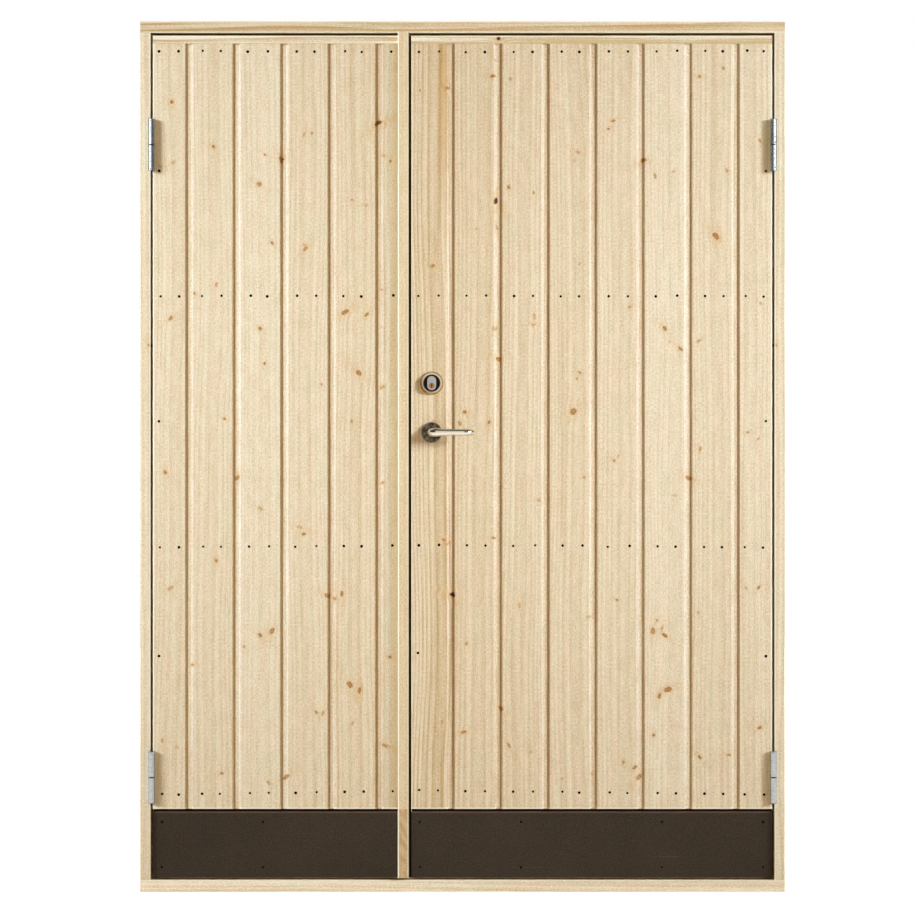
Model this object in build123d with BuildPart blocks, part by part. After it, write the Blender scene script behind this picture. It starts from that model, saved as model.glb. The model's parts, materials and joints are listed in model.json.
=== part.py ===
"""Unequal double door for a storage building, in millimetres.

Two boarded pine leaves hang in a rebated timber frame and open outwards. The narrow left
leaf carries the meeting post, and the wide right leaf carries the lock and the levers.
X runs across the door to the right, Y from the outside to the inside, and Z up.
The origin is the centre of the sill's underside.
"""

import os
from dataclasses import dataclass
from math import cos, radians, sin

from build123d import *

# Door frame
FRAME_WIDTH = 1466.0
FRAME_HEIGHT = 1980.0
FRAME_DEPTH = 92.0
JAMB_FACE = 24.0
HEAD_FACE = 27.0
SILL_FACE = 27.0
STOP_LIP = 18.0
SILL_LIP = 14.0
FRAME_ARRIS = 1.5
SCREW_HOLE_RADIUS = 7.0
SCREW_HOLE_END = 220.0
SCREW_HOLE_SPACING = 530.0

# Running gaps between the leaves and the frame
SIDE_GAP = 5.0
TOP_GAP = 6.5
BOTTOM_GAP = 5.0
STOP_GAP = 5.0
MEETING_GAP = 5.0

# Leaf framing
LEFT_LEAF_WIDTH = 582.0
RAIL_THICKNESS = 34.0
RAIL_WIDTH = 95.0
STILE_WIDTH = 95.0
UPPER_RAIL_DROP = 625.5
MIDDLE_RAIL_HEIGHT = 785.5
LOWER_RAIL_RISE = 8.0
MEETING_BEVEL = 4.0

# Tongued and grooved boards
BOARD_THICKNESS = 22.0
LEFT_BOARD_COUNT = 6
RIGHT_BOARD_COUNT = 8
HINGE_BOARD_WIDTH = 79.0
LEFT_MEETING_BOARD_WIDTH = 46.0
RIGHT_MEETING_BOARD_WIDTH = 94.0
GROOVE_DEPTH = 5.0
GROOVE_BEVEL = 5.5
GROOVE_SHELF = 8.0
JOINT_GAP = 0.5
TONGUE_LENGTH = 8.0
TONGUE_THICKNESS = 6.0
TONGUE_DROP = 4.0
TONGUE_CLEARANCE = 0.4
BOARD_ARRIS = 1.0

# Strip over the boards, and the plate below them
TOP_STRIP_HEIGHT = 18.0
TOP_STRIP_PROUD = 1.5
KICK_PLATE_HEIGHT = 149.5
KICK_PLATE_THICKNESS = 12.0
DRIP_GAP = 7.0

# Meeting post on the left leaf, with its seal
POST_WIDTH = 25.0
POST_PROUD = 13.0
POST_HEAD_COVER = 2.0
POST_HEAD_CLEARANCE = 5.0
POST_ARRIS = 2.0
MEETING_SEAL_SETBACK = 12.0
MEETING_SEAL_DEPTH = 9.0
MEETING_SEAL_CLEARANCE = 0.4

# Seal in the frame's rebate
REBATE_SEAL_WIDTH = 7.0
REBATE_SEAL_INSET = 2.0
REBATE_SEAL_CLEARANCE = 0.5

# Lift-off hinges
LOWER_HINGE_HEIGHT = 260.5
UPPER_HINGE_DROP = 282.0
HINGE_LENGTH = 118.0
KNUCKLE_RADIUS = 7.4
KNUCKLE_CLEARANCE = 1.1
HINGE_SPLIT = 1.0
PIN_RADIUS = 4.0
PIN_LENGTH = 42.0
PIN_CLEARANCE = 0.05
PIN_END_CLEARANCE = 2.0
FLAG_THICKNESS = 2.5
FLAG_DEPTH = 30.0

# Lock, cylinder and levers on the right leaf
LOCK_BACKSET = 47.0
LEVER_HEIGHT = 1044.5
CYLINDER_RISE = 112.0
LOCK_CASE_DEPTH = 72.0
LOCK_CASE_HEIGHT = 190.0
LOCK_CASE_THICKNESS = 15.0
LOCK_CASE_BELOW_LEVER = 50.0
LOCK_CASE_CLEARANCE = 0.5
FOREND_WIDTH = 18.0
FOREND_THICKNESS = 3.0
FOREND_OVERHANG = 22.0
BOLT_SLOT_HEIGHTS = (-8.0, 92.0)
BOLT_SLOT_LENGTH = 34.0
BOLT_SLOT_WIDTH = 11.0
STRIKE_THICKNESS = 2.5
STRIKE_SOCKET_DEPTH = 10.0
CYLINDER_WIDTH = 20.0
CYLINDER_HEIGHT = 32.0
CYLINDER_PROJECTION = 8.0
CYLINDER_CLEARANCE = 0.8
PLUG_RADIUS = 6.5
PLUG_DROP = 5.5
PLUG_PROUD = 0.8
KEYWAY_WIDTH = 2.2
KEYWAY_HEIGHT = 8.0
KEYWAY_DEPTH = 6.0
RING_BASE_RADIUS = 26.5
RING_FRONT_RADIUS = 22.5
RING_HEIGHT = 11.0
RING_MOUTH_RADIUS = 19.5
RING_SEAT = 2.5
ROSE_RADIUS = 23.5
ROSE_HEIGHT = 9.0
ROSE_TAPER = 1.5
SPINDLE_SIDE = 8.0
SPINDLE_HOLE_RADIUS = 7.0
NECK_RADIUS = 9.5
NECK_CLEARANCE = 0.2
ELBOW_RADIUS = 11.0
GRIP_RADIUS = 7.3
GRIP_PROJECTION = 48.0
GRIP_TAPER_LENGTH = 34.0
GRIP_BEND_START = 70.0
GRIP_BEND_ANGLE = 30.0
GRIP_BEND_RADIUS = 30.0
GRIP_TIP_RADIUS = 6.0
GRIP_TIP_LENGTH = 9.0
TURN_BASE_RADIUS = 24.0
TURN_BASE_HEIGHT = 8.0
TURN_KNOB_LENGTH = 30.0
TURN_KNOB_WIDTH = 10.0
TURN_KNOB_HEIGHT = 18.0

# Planes and edges that several pieces share
FRONT = -FRAME_DEPTH / 2
BACK = FRAME_DEPTH / 2
LEAF_THICKNESS = BOARD_THICKNESS + RAIL_THICKNESS
RAIL_FRONT = FRONT + BOARD_THICKNESS
LEAF_BACK = FRONT + LEAF_THICKNESS
STOP_FRONT = LEAF_BACK + STOP_GAP
HEAD_UNDERSIDE = FRAME_HEIGHT - HEAD_FACE
LEAF_BOTTOM = SILL_FACE + BOTTOM_GAP
LEAF_TOP = HEAD_UNDERSIDE - TOP_GAP
BOARD_TOP = LEAF_TOP - TOP_STRIP_HEIGHT
KICK_PLATE_TOP = LEAF_BOTTOM + KICK_PLATE_HEIGHT
BOARD_BOTTOM = KICK_PLATE_TOP + DRIP_GAP
JAMB_INNER = FRAME_WIDTH / 2 - JAMB_FACE
LEAF_EDGE = JAMB_INNER - SIDE_GAP
RIGHT_LEAF_WIDTH = 2 * LEAF_EDGE - LEFT_LEAF_WIDTH - MEETING_GAP
HINGE_AXIS_X = JAMB_INNER - SIDE_GAP / 2
HINGE_AXIS_Y = FRONT - KNUCKLE_RADIUS - KNUCKLE_CLEARANCE
CYLINDER_Z = LEVER_HEIGHT + CYLINDER_RISE
HINGE_HEIGHTS = (LOWER_HINGE_HEIGHT, FRAME_HEIGHT - UPPER_HINGE_DROP)
CUT_MARGIN = 5.0


@dataclass
class Leaf:
    """One leaf: its hinge edge, which way its meeting edge lies, and how wide its boarding is."""

    name: str
    side: int
    boarded_width: float
    board_count: int
    meeting_board_width: float

    def x(self, across):
        """The place of a point that lies a distance across from the hinge edge."""
        return self.side * (LEAF_EDGE - across)

    def meeting_x(self, depth):
        """The boarded part's meeting edge at a depth behind the front, bevelled on the right leaf."""
        bevel = 0 if self.side < 0 else MEETING_BEVEL * depth / LEAF_THICKNESS
        return self.x(self.boarded_width - bevel)


LEFT = Leaf("left", -1, LEFT_LEAF_WIDTH - POST_WIDTH, LEFT_BOARD_COUNT, LEFT_MEETING_BOARD_WIDTH)
RIGHT = Leaf("right", 1, RIGHT_LEAF_WIDTH, RIGHT_BOARD_COUNT, RIGHT_MEETING_BOARD_WIDTH)
SPINDLE_X = RIGHT.x(RIGHT_LEAF_WIDTH - LOCK_BACKSET)
POST_LEFT_X = LEFT.x(LEFT.boarded_width)
POST_RIGHT_X = LEFT.x(LEFT_LEAF_WIDTH)
LOCK_Y = RAIL_FRONT + RAIL_THICKNESS / 2
FOREND_X = RIGHT.meeting_x(LOCK_Y + FOREND_WIDTH / 2 - FRONT)
STRIKE_X = POST_RIGHT_X - MEETING_BEVEL * (LOCK_Y + FOREND_WIDTH / 2 - FRONT) / LEAF_THICKNESS
LOCK_BOTTOM = LEVER_HEIGHT - LOCK_CASE_BELOW_LEVER
LOCK_TOP = LOCK_BOTTOM + LOCK_CASE_HEIGHT


def save(piece, name):
    """Labels a finished piece and writes it as one STEP file."""
    piece.part.label = name
    export_step(piece.part, f"parts/{name}.step")


def rectangle_between(x0, y0, x1, y1):
    """A rectangle between two corners of the current sketch."""
    with Locations(((x0 + x1) / 2, (y0 + y1) / 2)):
        Rectangle(abs(x1 - x0), abs(y1 - y0))


def cut_between(low, high):
    """Cuts a box between two corners out of the current part."""
    centre = [(a + b) / 2 for a, b in zip(low, high)]
    size = [abs(b - a) for a, b in zip(low, high)]
    with Locations(tuple(centre)):
        Box(*size, mode=Mode.SUBTRACT)


def cut_bore(x, z, radius, y0, y1):
    """Cuts a round hole along Y out of the current part."""
    with Locations((x, (y0 + y1) / 2, z)):
        Cylinder(radius, abs(y1 - y0), rotation=(90, 0, 0), mode=Mode.SUBTRACT)


def make_head():
    lip = HEAD_UNDERSIDE - STOP_LIP
    with BuildPart() as head:
        with BuildSketch(Plane.YZ.offset(-FRAME_WIDTH / 2)):
            with BuildLine():
                Polyline(
                    (FRONT, HEAD_UNDERSIDE), (FRONT, FRAME_HEIGHT), (BACK, FRAME_HEIGHT), (BACK, lip),
                    (STOP_FRONT, lip), (STOP_FRONT, HEAD_UNDERSIDE), close=True,
                )
            make_face()
        extrude(amount=FRAME_WIDTH)
        fillet(head.edges().filter_by(Axis.X).group_by(Axis.Y)[0], FRAME_ARRIS)
    save(head, "head")


def make_sill():
    lip = SILL_FACE + SILL_LIP
    with BuildPart() as sill:
        with BuildSketch(Plane.YZ.offset(-FRAME_WIDTH / 2)):
            with BuildLine():
                Polyline(
                    (FRONT, 0), (FRONT, SILL_FACE), (STOP_FRONT, SILL_FACE), (STOP_FRONT, lip),
                    (BACK, lip), (BACK, 0), close=True,
                )
            make_face()
        extrude(amount=FRAME_WIDTH)
        fillet(sill.edges().filter_by(Axis.X).group_by(Axis.Y)[0], FRAME_ARRIS)
    save(sill, "sill")


def make_jamb(leaf):
    """A jamb between sill and head, with its stop, hinge mortises and frame screw holes."""
    outer = leaf.side * FRAME_WIDTH / 2
    inner = leaf.side * JAMB_INNER
    stop = leaf.side * (JAMB_INNER - STOP_LIP)
    ends = (SCREW_HOLE_END, FRAME_HEIGHT - SCREW_HOLE_END)
    screw_heights = (ends[0], ends[0] + SCREW_HOLE_SPACING, ends[1] - SCREW_HOLE_SPACING, ends[1])
    with BuildPart() as jamb:
        with BuildSketch(Plane.XY.offset(SILL_FACE)):
            rectangle_between(outer, FRONT, inner, STOP_FRONT)
        extrude(amount=HEAD_UNDERSIDE - SILL_FACE)
        with BuildSketch(Plane.XY.offset(SILL_FACE + SILL_LIP)):
            rectangle_between(outer, STOP_FRONT, stop, BACK)
        extrude(amount=HEAD_UNDERSIDE - STOP_LIP - SILL_FACE - SILL_LIP)
        fillet(jamb.edges().filter_by(Axis.Z).group_by(Axis.Y)[0], FRAME_ARRIS)
        for height in HINGE_HEIGHTS:
            cut_between(
                (inner - leaf.side * CUT_MARGIN, FRONT - CUT_MARGIN, height - HINGE_LENGTH / 2),
                (inner + leaf.side * FLAG_THICKNESS, FRONT + FLAG_DEPTH, height),
            )
        for height in screw_heights:
            with Locations(((outer + stop) / 2, (STOP_FRONT + BACK) / 2, height)):
                Cylinder(
                    SCREW_HOLE_RADIUS, JAMB_FACE + STOP_LIP + CUT_MARGIN,
                    rotation=(0, 90, 0), mode=Mode.SUBTRACT,
                )
    save(jamb, f"{leaf.name}_jamb")


def make_rebate_seal():
    """Three rubber strips on the stops, which the leaves close against."""
    thickness = STOP_GAP - REBATE_SEAL_CLEARANCE
    near = JAMB_INNER - STOP_LIP + REBATE_SEAL_INSET
    far = near + REBATE_SEAL_WIDTH
    low = HEAD_UNDERSIDE - STOP_LIP + REBATE_SEAL_INSET
    with BuildPart() as seal:
        with BuildSketch(Plane.XY.offset(SILL_FACE + SILL_LIP)):
            for side in (-1, 1):
                rectangle_between(side * near, STOP_FRONT - thickness, side * far, STOP_FRONT)
        extrude(amount=low - REBATE_SEAL_INSET - SILL_FACE - SILL_LIP)
        with BuildSketch(Plane.XY.offset(low)):
            rectangle_between(-far, STOP_FRONT - thickness, far, STOP_FRONT)
        extrude(amount=REBATE_SEAL_WIDTH)
    save(seal, "rebate_seal")


def make_frame_hinges(leaf):
    """The lower hinge halves on the jamb: flag plate, knuckle and pin."""
    axis_x = leaf.side * HINGE_AXIS_X
    inner = leaf.side * JAMB_INNER
    length = (HINGE_LENGTH - HINGE_SPLIT) / 2
    with BuildPart() as hinges:
        for height in HINGE_HEIGHTS:
            bottom = height - HINGE_LENGTH / 2
            with BuildSketch(Plane.XY.offset(bottom)):
                with Locations((axis_x, HINGE_AXIS_Y)):
                    Circle(KNUCKLE_RADIUS)
                rectangle_between(
                    inner, HINGE_AXIS_Y, inner + leaf.side * FLAG_THICKNESS, FRONT + FLAG_DEPTH,
                )
            extrude(amount=length)
            with BuildSketch(Plane.XY.offset(bottom + length)):
                with Locations((axis_x, HINGE_AXIS_Y)):
                    Circle(PIN_RADIUS)
            extrude(amount=HINGE_SPLIT + PIN_LENGTH)
    save(hinges, f"{leaf.name}_frame_hinges")


def make_leaf_hinges(leaf):
    """The upper hinge halves on the leaf: flag plate and bored knuckle."""
    axis_x = leaf.side * HINGE_AXIS_X
    edge = leaf.x(0)
    length = (HINGE_LENGTH - HINGE_SPLIT) / 2
    with BuildPart() as hinges:
        for height in HINGE_HEIGHTS:
            bottom = height + HINGE_SPLIT / 2
            with BuildSketch(Plane.XY.offset(bottom)):
                with Locations((axis_x, HINGE_AXIS_Y)):
                    Circle(KNUCKLE_RADIUS)
                rectangle_between(
                    edge, HINGE_AXIS_Y, edge - leaf.side * FLAG_THICKNESS, FRONT + FLAG_DEPTH,
                )
            extrude(amount=length)
            with BuildSketch(Plane.XY.offset(bottom)):
                with Locations((axis_x, HINGE_AXIS_Y)):
                    Circle(PIN_RADIUS + PIN_CLEARANCE)
            extrude(amount=PIN_LENGTH + PIN_END_CLEARANCE, mode=Mode.SUBTRACT)
    save(hinges, f"{leaf.name}_leaf_hinges")


def cut_hinge_mortises(leaf):
    """Seats for the hinges' flag plates in the leaf's hinge edge."""
    edge = leaf.x(0)
    for height in HINGE_HEIGHTS:
        cut_between(
            (edge + leaf.side * CUT_MARGIN, FRONT - CUT_MARGIN, height),
            (edge - leaf.side * FLAG_THICKNESS, FRONT + FLAG_DEPTH, height + HINGE_LENGTH / 2),
        )


def cut_lock_bores(y0, y1):
    """Holes for the spindle and the cylinder."""
    cut_bore(SPINDLE_X, LEVER_HEIGHT, SPINDLE_HOLE_RADIUS, y0, y1)
    cut_bore(SPINDLE_X, CYLINDER_Z, CYLINDER_HEIGHT / 2 + CYLINDER_CLEARANCE, y0, y1)


def board_starts(leaf):
    """Where each board's joint lies across the leaf: boards between the end ones share a cover width."""
    full_boards = leaf.board_count - 2
    cover = (leaf.boarded_width - HINGE_BOARD_WIDTH - leaf.meeting_board_width) / full_boards
    return [0.0] + [HINGE_BOARD_WIDTH + cover * k for k in range(full_boards + 1)]


def board_outline(leaf, start, end):
    """A board's section: its tongue points to the hinge edge and its slot to the meeting edge."""
    tongue_top = GROOVE_DEPTH + TONGUE_DROP
    tongue_bottom = tongue_top + TONGUE_THICKNESS
    if start == 0:
        first = [(0, BOARD_THICKNESS), (0, BOARD_ARRIS), (BOARD_ARRIS, 0)]
    else:
        first = [
            (start, BOARD_THICKNESS), (start, tongue_bottom), (start - TONGUE_LENGTH, tongue_bottom),
            (start - TONGUE_LENGTH, tongue_top), (start, tongue_top), (start, GROOVE_DEPTH),
            (start + GROOVE_SHELF, GROOVE_DEPTH), (start + GROOVE_SHELF + GROOVE_BEVEL, 0),
        ]
    slot_top = tongue_top - TONGUE_CLEARANCE
    slot_bottom = tongue_bottom + TONGUE_CLEARANCE
    edge = end - JOINT_GAP
    slot_end = end - TONGUE_LENGTH - TONGUE_CLEARANCE
    last = [
        (edge - GROOVE_BEVEL, 0), (edge, GROOVE_DEPTH), (edge, slot_top), (slot_end, slot_top),
        (slot_end, slot_bottom), (edge, slot_bottom), (edge, BOARD_THICKNESS),
    ]
    outline = [(leaf.x(across), FRONT + depth) for across, depth in first]
    if end < leaf.boarded_width:
        return outline + [(leaf.x(across), FRONT + depth) for across, depth in last]
    arris = leaf.side * BOARD_ARRIS
    return outline + [
        (leaf.meeting_x(0) + arris, FRONT), (leaf.meeting_x(BOARD_ARRIS), FRONT + BOARD_ARRIS),
        (leaf.meeting_x(BOARD_THICKNESS), RAIL_FRONT),
    ]


def make_boards(leaf):
    starts = board_starts(leaf)
    ends = starts[1:] + [leaf.boarded_width]
    for number, (start, end) in enumerate(zip(starts, ends), 1):
        with BuildPart() as board:
            with BuildSketch(Plane.XY.offset(BOARD_BOTTOM)):
                with BuildLine():
                    Polyline(*board_outline(leaf, start, end), close=True)
                make_face()
            extrude(amount=BOARD_TOP - BOARD_BOTTOM)
            if start == 0:
                cut_hinge_mortises(leaf)
            if leaf is RIGHT and end == leaf.boarded_width:
                cut_lock_bores(FRONT - CUT_MARGIN, RAIL_FRONT + CUT_MARGIN)
        save(board, f"{leaf.name}_board_{number}")


def make_stiles(leaf):
    """The two uprights behind the boards; the right leaf's meeting stile is mortised for the lock."""
    with BuildPart() as hinge_stile:
        with BuildSketch(Plane.XY.offset(LEAF_BOTTOM)):
            rectangle_between(leaf.x(0), RAIL_FRONT, leaf.x(STILE_WIDTH), LEAF_BACK)
        extrude(amount=LEAF_TOP - LEAF_BOTTOM)
        cut_hinge_mortises(leaf)
    save(hinge_stile, f"{leaf.name}_hinge_stile")

    inner = leaf.x(leaf.boarded_width - STILE_WIDTH)
    with BuildPart() as meeting_stile:
        with BuildSketch(Plane.XY.offset(LEAF_BOTTOM)):
            with BuildLine():
                Polyline(
                    (inner, RAIL_FRONT), (inner, LEAF_BACK), (leaf.meeting_x(LEAF_THICKNESS), LEAF_BACK),
                    (leaf.meeting_x(BOARD_THICKNESS), RAIL_FRONT), close=True,
                )
            make_face()
        extrude(amount=LEAF_TOP - LEAF_BOTTOM)
        if leaf is RIGHT:
            half_case = LOCK_CASE_THICKNESS / 2 + LOCK_CASE_CLEARANCE
            half_forend = FOREND_WIDTH / 2
            shoulder = FOREND_X + FOREND_THICKNESS
            cut_between(
                (leaf.meeting_x(0) - CUT_MARGIN, LOCK_Y - half_forend, LOCK_BOTTOM - FOREND_OVERHANG),
                (shoulder, LOCK_Y + half_forend, LOCK_TOP + FOREND_OVERHANG),
            )
            cut_between(
                (shoulder - CUT_MARGIN, LOCK_Y - half_case, LOCK_BOTTOM - LOCK_CASE_CLEARANCE),
                (shoulder + LOCK_CASE_DEPTH + LOCK_CASE_CLEARANCE, LOCK_Y + half_case,
                 LOCK_TOP + LOCK_CASE_CLEARANCE),
            )
            cut_lock_bores(RAIL_FRONT - CUT_MARGIN, LEAF_BACK + CUT_MARGIN)
    save(meeting_stile, f"{leaf.name}_meeting_stile")


def make_rails(leaf):
    """Five rails between the stiles, at the heights of the nail rows."""
    heights = (
        LEAF_BOTTOM + RAIL_WIDTH / 2,
        BOARD_BOTTOM + LOWER_RAIL_RISE,
        MIDDLE_RAIL_HEIGHT,
        FRAME_HEIGHT - UPPER_RAIL_DROP,
        LEAF_TOP - RAIL_WIDTH / 2,
    )
    with BuildPart() as rails:
        for height in heights:
            with BuildSketch(Plane.XY.offset(height - RAIL_WIDTH / 2)):
                rectangle_between(
                    leaf.x(STILE_WIDTH), RAIL_FRONT,
                    leaf.x(leaf.boarded_width - STILE_WIDTH), LEAF_BACK,
                )
            extrude(amount=RAIL_WIDTH)
    save(rails, f"{leaf.name}_rails")


def make_top_strip(leaf):
    """The strip that caps the boards' upper ends."""
    with BuildPart() as strip:
        with BuildSketch(Plane.XY.offset(BOARD_TOP)):
            with BuildLine():
                Polyline(
                    (leaf.x(0), FRONT - TOP_STRIP_PROUD), (leaf.x(0), RAIL_FRONT),
                    (leaf.meeting_x(BOARD_THICKNESS), RAIL_FRONT), (leaf.meeting_x(0), FRONT),
                    (leaf.meeting_x(0), FRONT - TOP_STRIP_PROUD), close=True,
                )
            make_face()
        extrude(amount=TOP_STRIP_HEIGHT)
    save(strip, f"{leaf.name}_top_strip")


def make_kick_plate(leaf):
    """The plate below the boards, set back behind their face."""
    depth = BOARD_THICKNESS - KICK_PLATE_THICKNESS
    with BuildPart() as plate:
        with BuildSketch(Plane.XY.offset(LEAF_BOTTOM)):
            with BuildLine():
                Polyline(
                    (leaf.x(0), FRONT + depth), (leaf.x(0), RAIL_FRONT),
                    (leaf.meeting_x(BOARD_THICKNESS), RAIL_FRONT), (leaf.meeting_x(depth), FRONT + depth),
                    close=True,
                )
            make_face()
        extrude(amount=KICK_PLATE_HEIGHT)
    save(plate, f"{leaf.name}_kick_plate")


def make_meeting_post():
    """The post on the left leaf's meeting edge. Its front laps the head, and its right side is bevelled."""
    back_right = POST_RIGHT_X - MEETING_BEVEL
    lap_back = FRONT - POST_HEAD_CLEARANCE
    with BuildPart() as post:
        with BuildSketch(Plane.XY.offset(LEAF_BOTTOM)):
            with BuildLine():
                Polyline(
                    (POST_LEFT_X, FRONT - POST_PROUD), (POST_LEFT_X, LEAF_BACK), (back_right, LEAF_BACK),
                    (POST_RIGHT_X, FRONT), (POST_RIGHT_X, FRONT - POST_PROUD), close=True,
                )
            make_face()
        extrude(amount=HEAD_UNDERSIDE + POST_HEAD_COVER - LEAF_BOTTOM)
        cut_between(
            (POST_LEFT_X - CUT_MARGIN, lap_back, LEAF_TOP),
            (POST_RIGHT_X + CUT_MARGIN, LEAF_BACK + CUT_MARGIN, FRAME_HEIGHT),
        )
        fillet(post.edges().filter_by(Axis.Z).group_by(Axis.Y)[0], POST_ARRIS)
        cut_between(
            (STRIKE_X - STRIKE_THICKNESS, LOCK_Y - FOREND_WIDTH / 2, LOCK_BOTTOM - FOREND_OVERHANG),
            (POST_RIGHT_X + CUT_MARGIN, LOCK_Y + FOREND_WIDTH / 2, LOCK_TOP + FOREND_OVERHANG),
        )
        for height in BOLT_SLOT_HEIGHTS:
            cut_bolt_slot(height, STRIKE_X - STRIKE_THICKNESS - STRIKE_SOCKET_DEPTH)
    save(post, "meeting_post")


def cut_bolt_slot(height, bottom_x):
    """A slot for a latch or bolt, at a height over the lever, cut from the right."""
    middle = LEVER_HEIGHT + height
    cut_between(
        (bottom_x, LOCK_Y - BOLT_SLOT_WIDTH / 2, middle - BOLT_SLOT_LENGTH / 2),
        (POST_RIGHT_X + CUT_MARGIN, LOCK_Y + BOLT_SLOT_WIDTH / 2, middle + BOLT_SLOT_LENGTH / 2),
    )


def make_meeting_seal():
    """A rubber bulb on the post's right side, which closes the meeting gap."""
    near = MEETING_SEAL_SETBACK
    far = near + MEETING_SEAL_DEPTH
    middle = (near + far) / 2
    slope = MEETING_BEVEL / LEAF_THICKNESS
    start = (POST_RIGHT_X - slope * near, FRONT + near)
    tip = (RIGHT.meeting_x(middle) - MEETING_SEAL_CLEARANCE, FRONT + middle)
    end = (POST_RIGHT_X - slope * far, FRONT + far)
    with BuildPart() as seal:
        with BuildSketch(Plane.XY.offset(LEAF_BOTTOM)):
            with BuildLine():
                ThreePointArc(start, tip, end)
                Line(end, start)
            make_face()
        extrude(amount=LEAF_TOP - LEAF_BOTTOM)
    save(seal, "meeting_seal")


def make_strike_plate():
    """The plate in the post's side that takes the latch and the bolt."""
    with BuildPart() as strike:
        with BuildSketch(Plane.XY.offset(LOCK_BOTTOM - FOREND_OVERHANG)):
            rectangle_between(
                STRIKE_X - STRIKE_THICKNESS, LOCK_Y - FOREND_WIDTH / 2,
                STRIKE_X, LOCK_Y + FOREND_WIDTH / 2,
            )
        extrude(amount=LOCK_CASE_HEIGHT + 2 * FOREND_OVERHANG)
        for height in BOLT_SLOT_HEIGHTS:
            cut_bolt_slot(height, STRIKE_X - STRIKE_THICKNESS - CUT_MARGIN)
    save(strike, "strike_plate")


def make_lock_case():
    """The mortise lock: its case in the stile and its forend in the meeting edge."""
    shoulder = FOREND_X + FOREND_THICKNESS
    with BuildPart() as lock:
        with BuildSketch(Plane.XY.offset(LOCK_BOTTOM - FOREND_OVERHANG)):
            rectangle_between(FOREND_X, LOCK_Y - FOREND_WIDTH / 2, shoulder, LOCK_Y + FOREND_WIDTH / 2)
        extrude(amount=LOCK_CASE_HEIGHT + 2 * FOREND_OVERHANG)
        with BuildSketch(Plane.XY.offset(LOCK_BOTTOM)):
            half = LOCK_CASE_THICKNESS / 2
            rectangle_between(shoulder, LOCK_Y - half, shoulder + LOCK_CASE_DEPTH, LOCK_Y + half)
        extrude(amount=LOCK_CASE_HEIGHT)
        cut_bore(SPINDLE_X, LEVER_HEIGHT, SPINDLE_HOLE_RADIUS, RAIL_FRONT, LEAF_BACK)
    save(lock, "lock_case")


def turning_plane(face_y, outward, height):
    """A plane through the lock's axis at a height: its x is the radius and its y points off the face."""
    return Plane(origin=(SPINDLE_X, face_y, height), x_dir=(1, 0, 0), z_dir=(0, 0, outward))


def turning_axis(height, outward):
    return Axis((SPINDLE_X, 0, height), (0, outward, 0))


def face_plane(face_y, outward, height):
    """A plane on the lock's axis at a height, facing off the door."""
    return Plane(origin=(SPINDLE_X, face_y, height), x_dir=(1, 0, 0), z_dir=(0, outward, 0))


def make_cylinder_ring():
    """The tapered ring round the cylinder."""
    bore = CYLINDER_HEIGHT / 2 + CYLINDER_CLEARANCE
    with BuildPart() as ring:
        with BuildSketch(turning_plane(FRONT, -1, CYLINDER_Z)):
            with BuildLine():
                Polyline(
                    (bore, 0), (RING_BASE_RADIUS, 0), (RING_BASE_RADIUS, RING_SEAT),
                    (RING_FRONT_RADIUS, RING_HEIGHT), (RING_MOUTH_RADIUS, RING_HEIGHT), close=True,
                )
            make_face()
        revolve(axis=turning_axis(CYLINDER_Z, -1))
    save(ring, "cylinder_ring")


def make_cylinder():
    """The oval lock cylinder with its plug and keyway."""
    face = FRONT - CYLINDER_PROJECTION
    case_front = LOCK_Y - LOCK_CASE_THICKNESS / 2
    plug_z = CYLINDER_Z - PLUG_DROP
    with BuildPart() as cylinder:
        with BuildSketch(face_plane(case_front, -1, CYLINDER_Z)):
            SlotOverall(CYLINDER_HEIGHT, CYLINDER_WIDTH, rotation=90)
        extrude(amount=case_front - face)
        with BuildSketch(face_plane(face, -1, plug_z)):
            Circle(PLUG_RADIUS)
        extrude(amount=PLUG_PROUD)
        cut_between(
            (SPINDLE_X - KEYWAY_WIDTH / 2, face + KEYWAY_DEPTH, plug_z - KEYWAY_HEIGHT / 2),
            (SPINDLE_X + KEYWAY_WIDTH / 2, face - CUT_MARGIN, plug_z + KEYWAY_HEIGHT / 2),
        )
    save(cylinder, "lock_cylinder")


def make_rose(name, face_y, outward):
    """A round rose that the lever's neck turns in."""
    bore = NECK_RADIUS + NECK_CLEARANCE
    with BuildPart() as rose:
        with BuildSketch(turning_plane(face_y, outward, LEVER_HEIGHT)):
            with BuildLine():
                Polyline(
                    (bore, 0), (ROSE_RADIUS, 0), (ROSE_RADIUS - ROSE_TAPER, ROSE_HEIGHT),
                    (bore, ROSE_HEIGHT), close=True,
                )
            make_face()
        revolve(axis=turning_axis(LEVER_HEIGHT, outward))
    save(rose, name)


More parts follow.
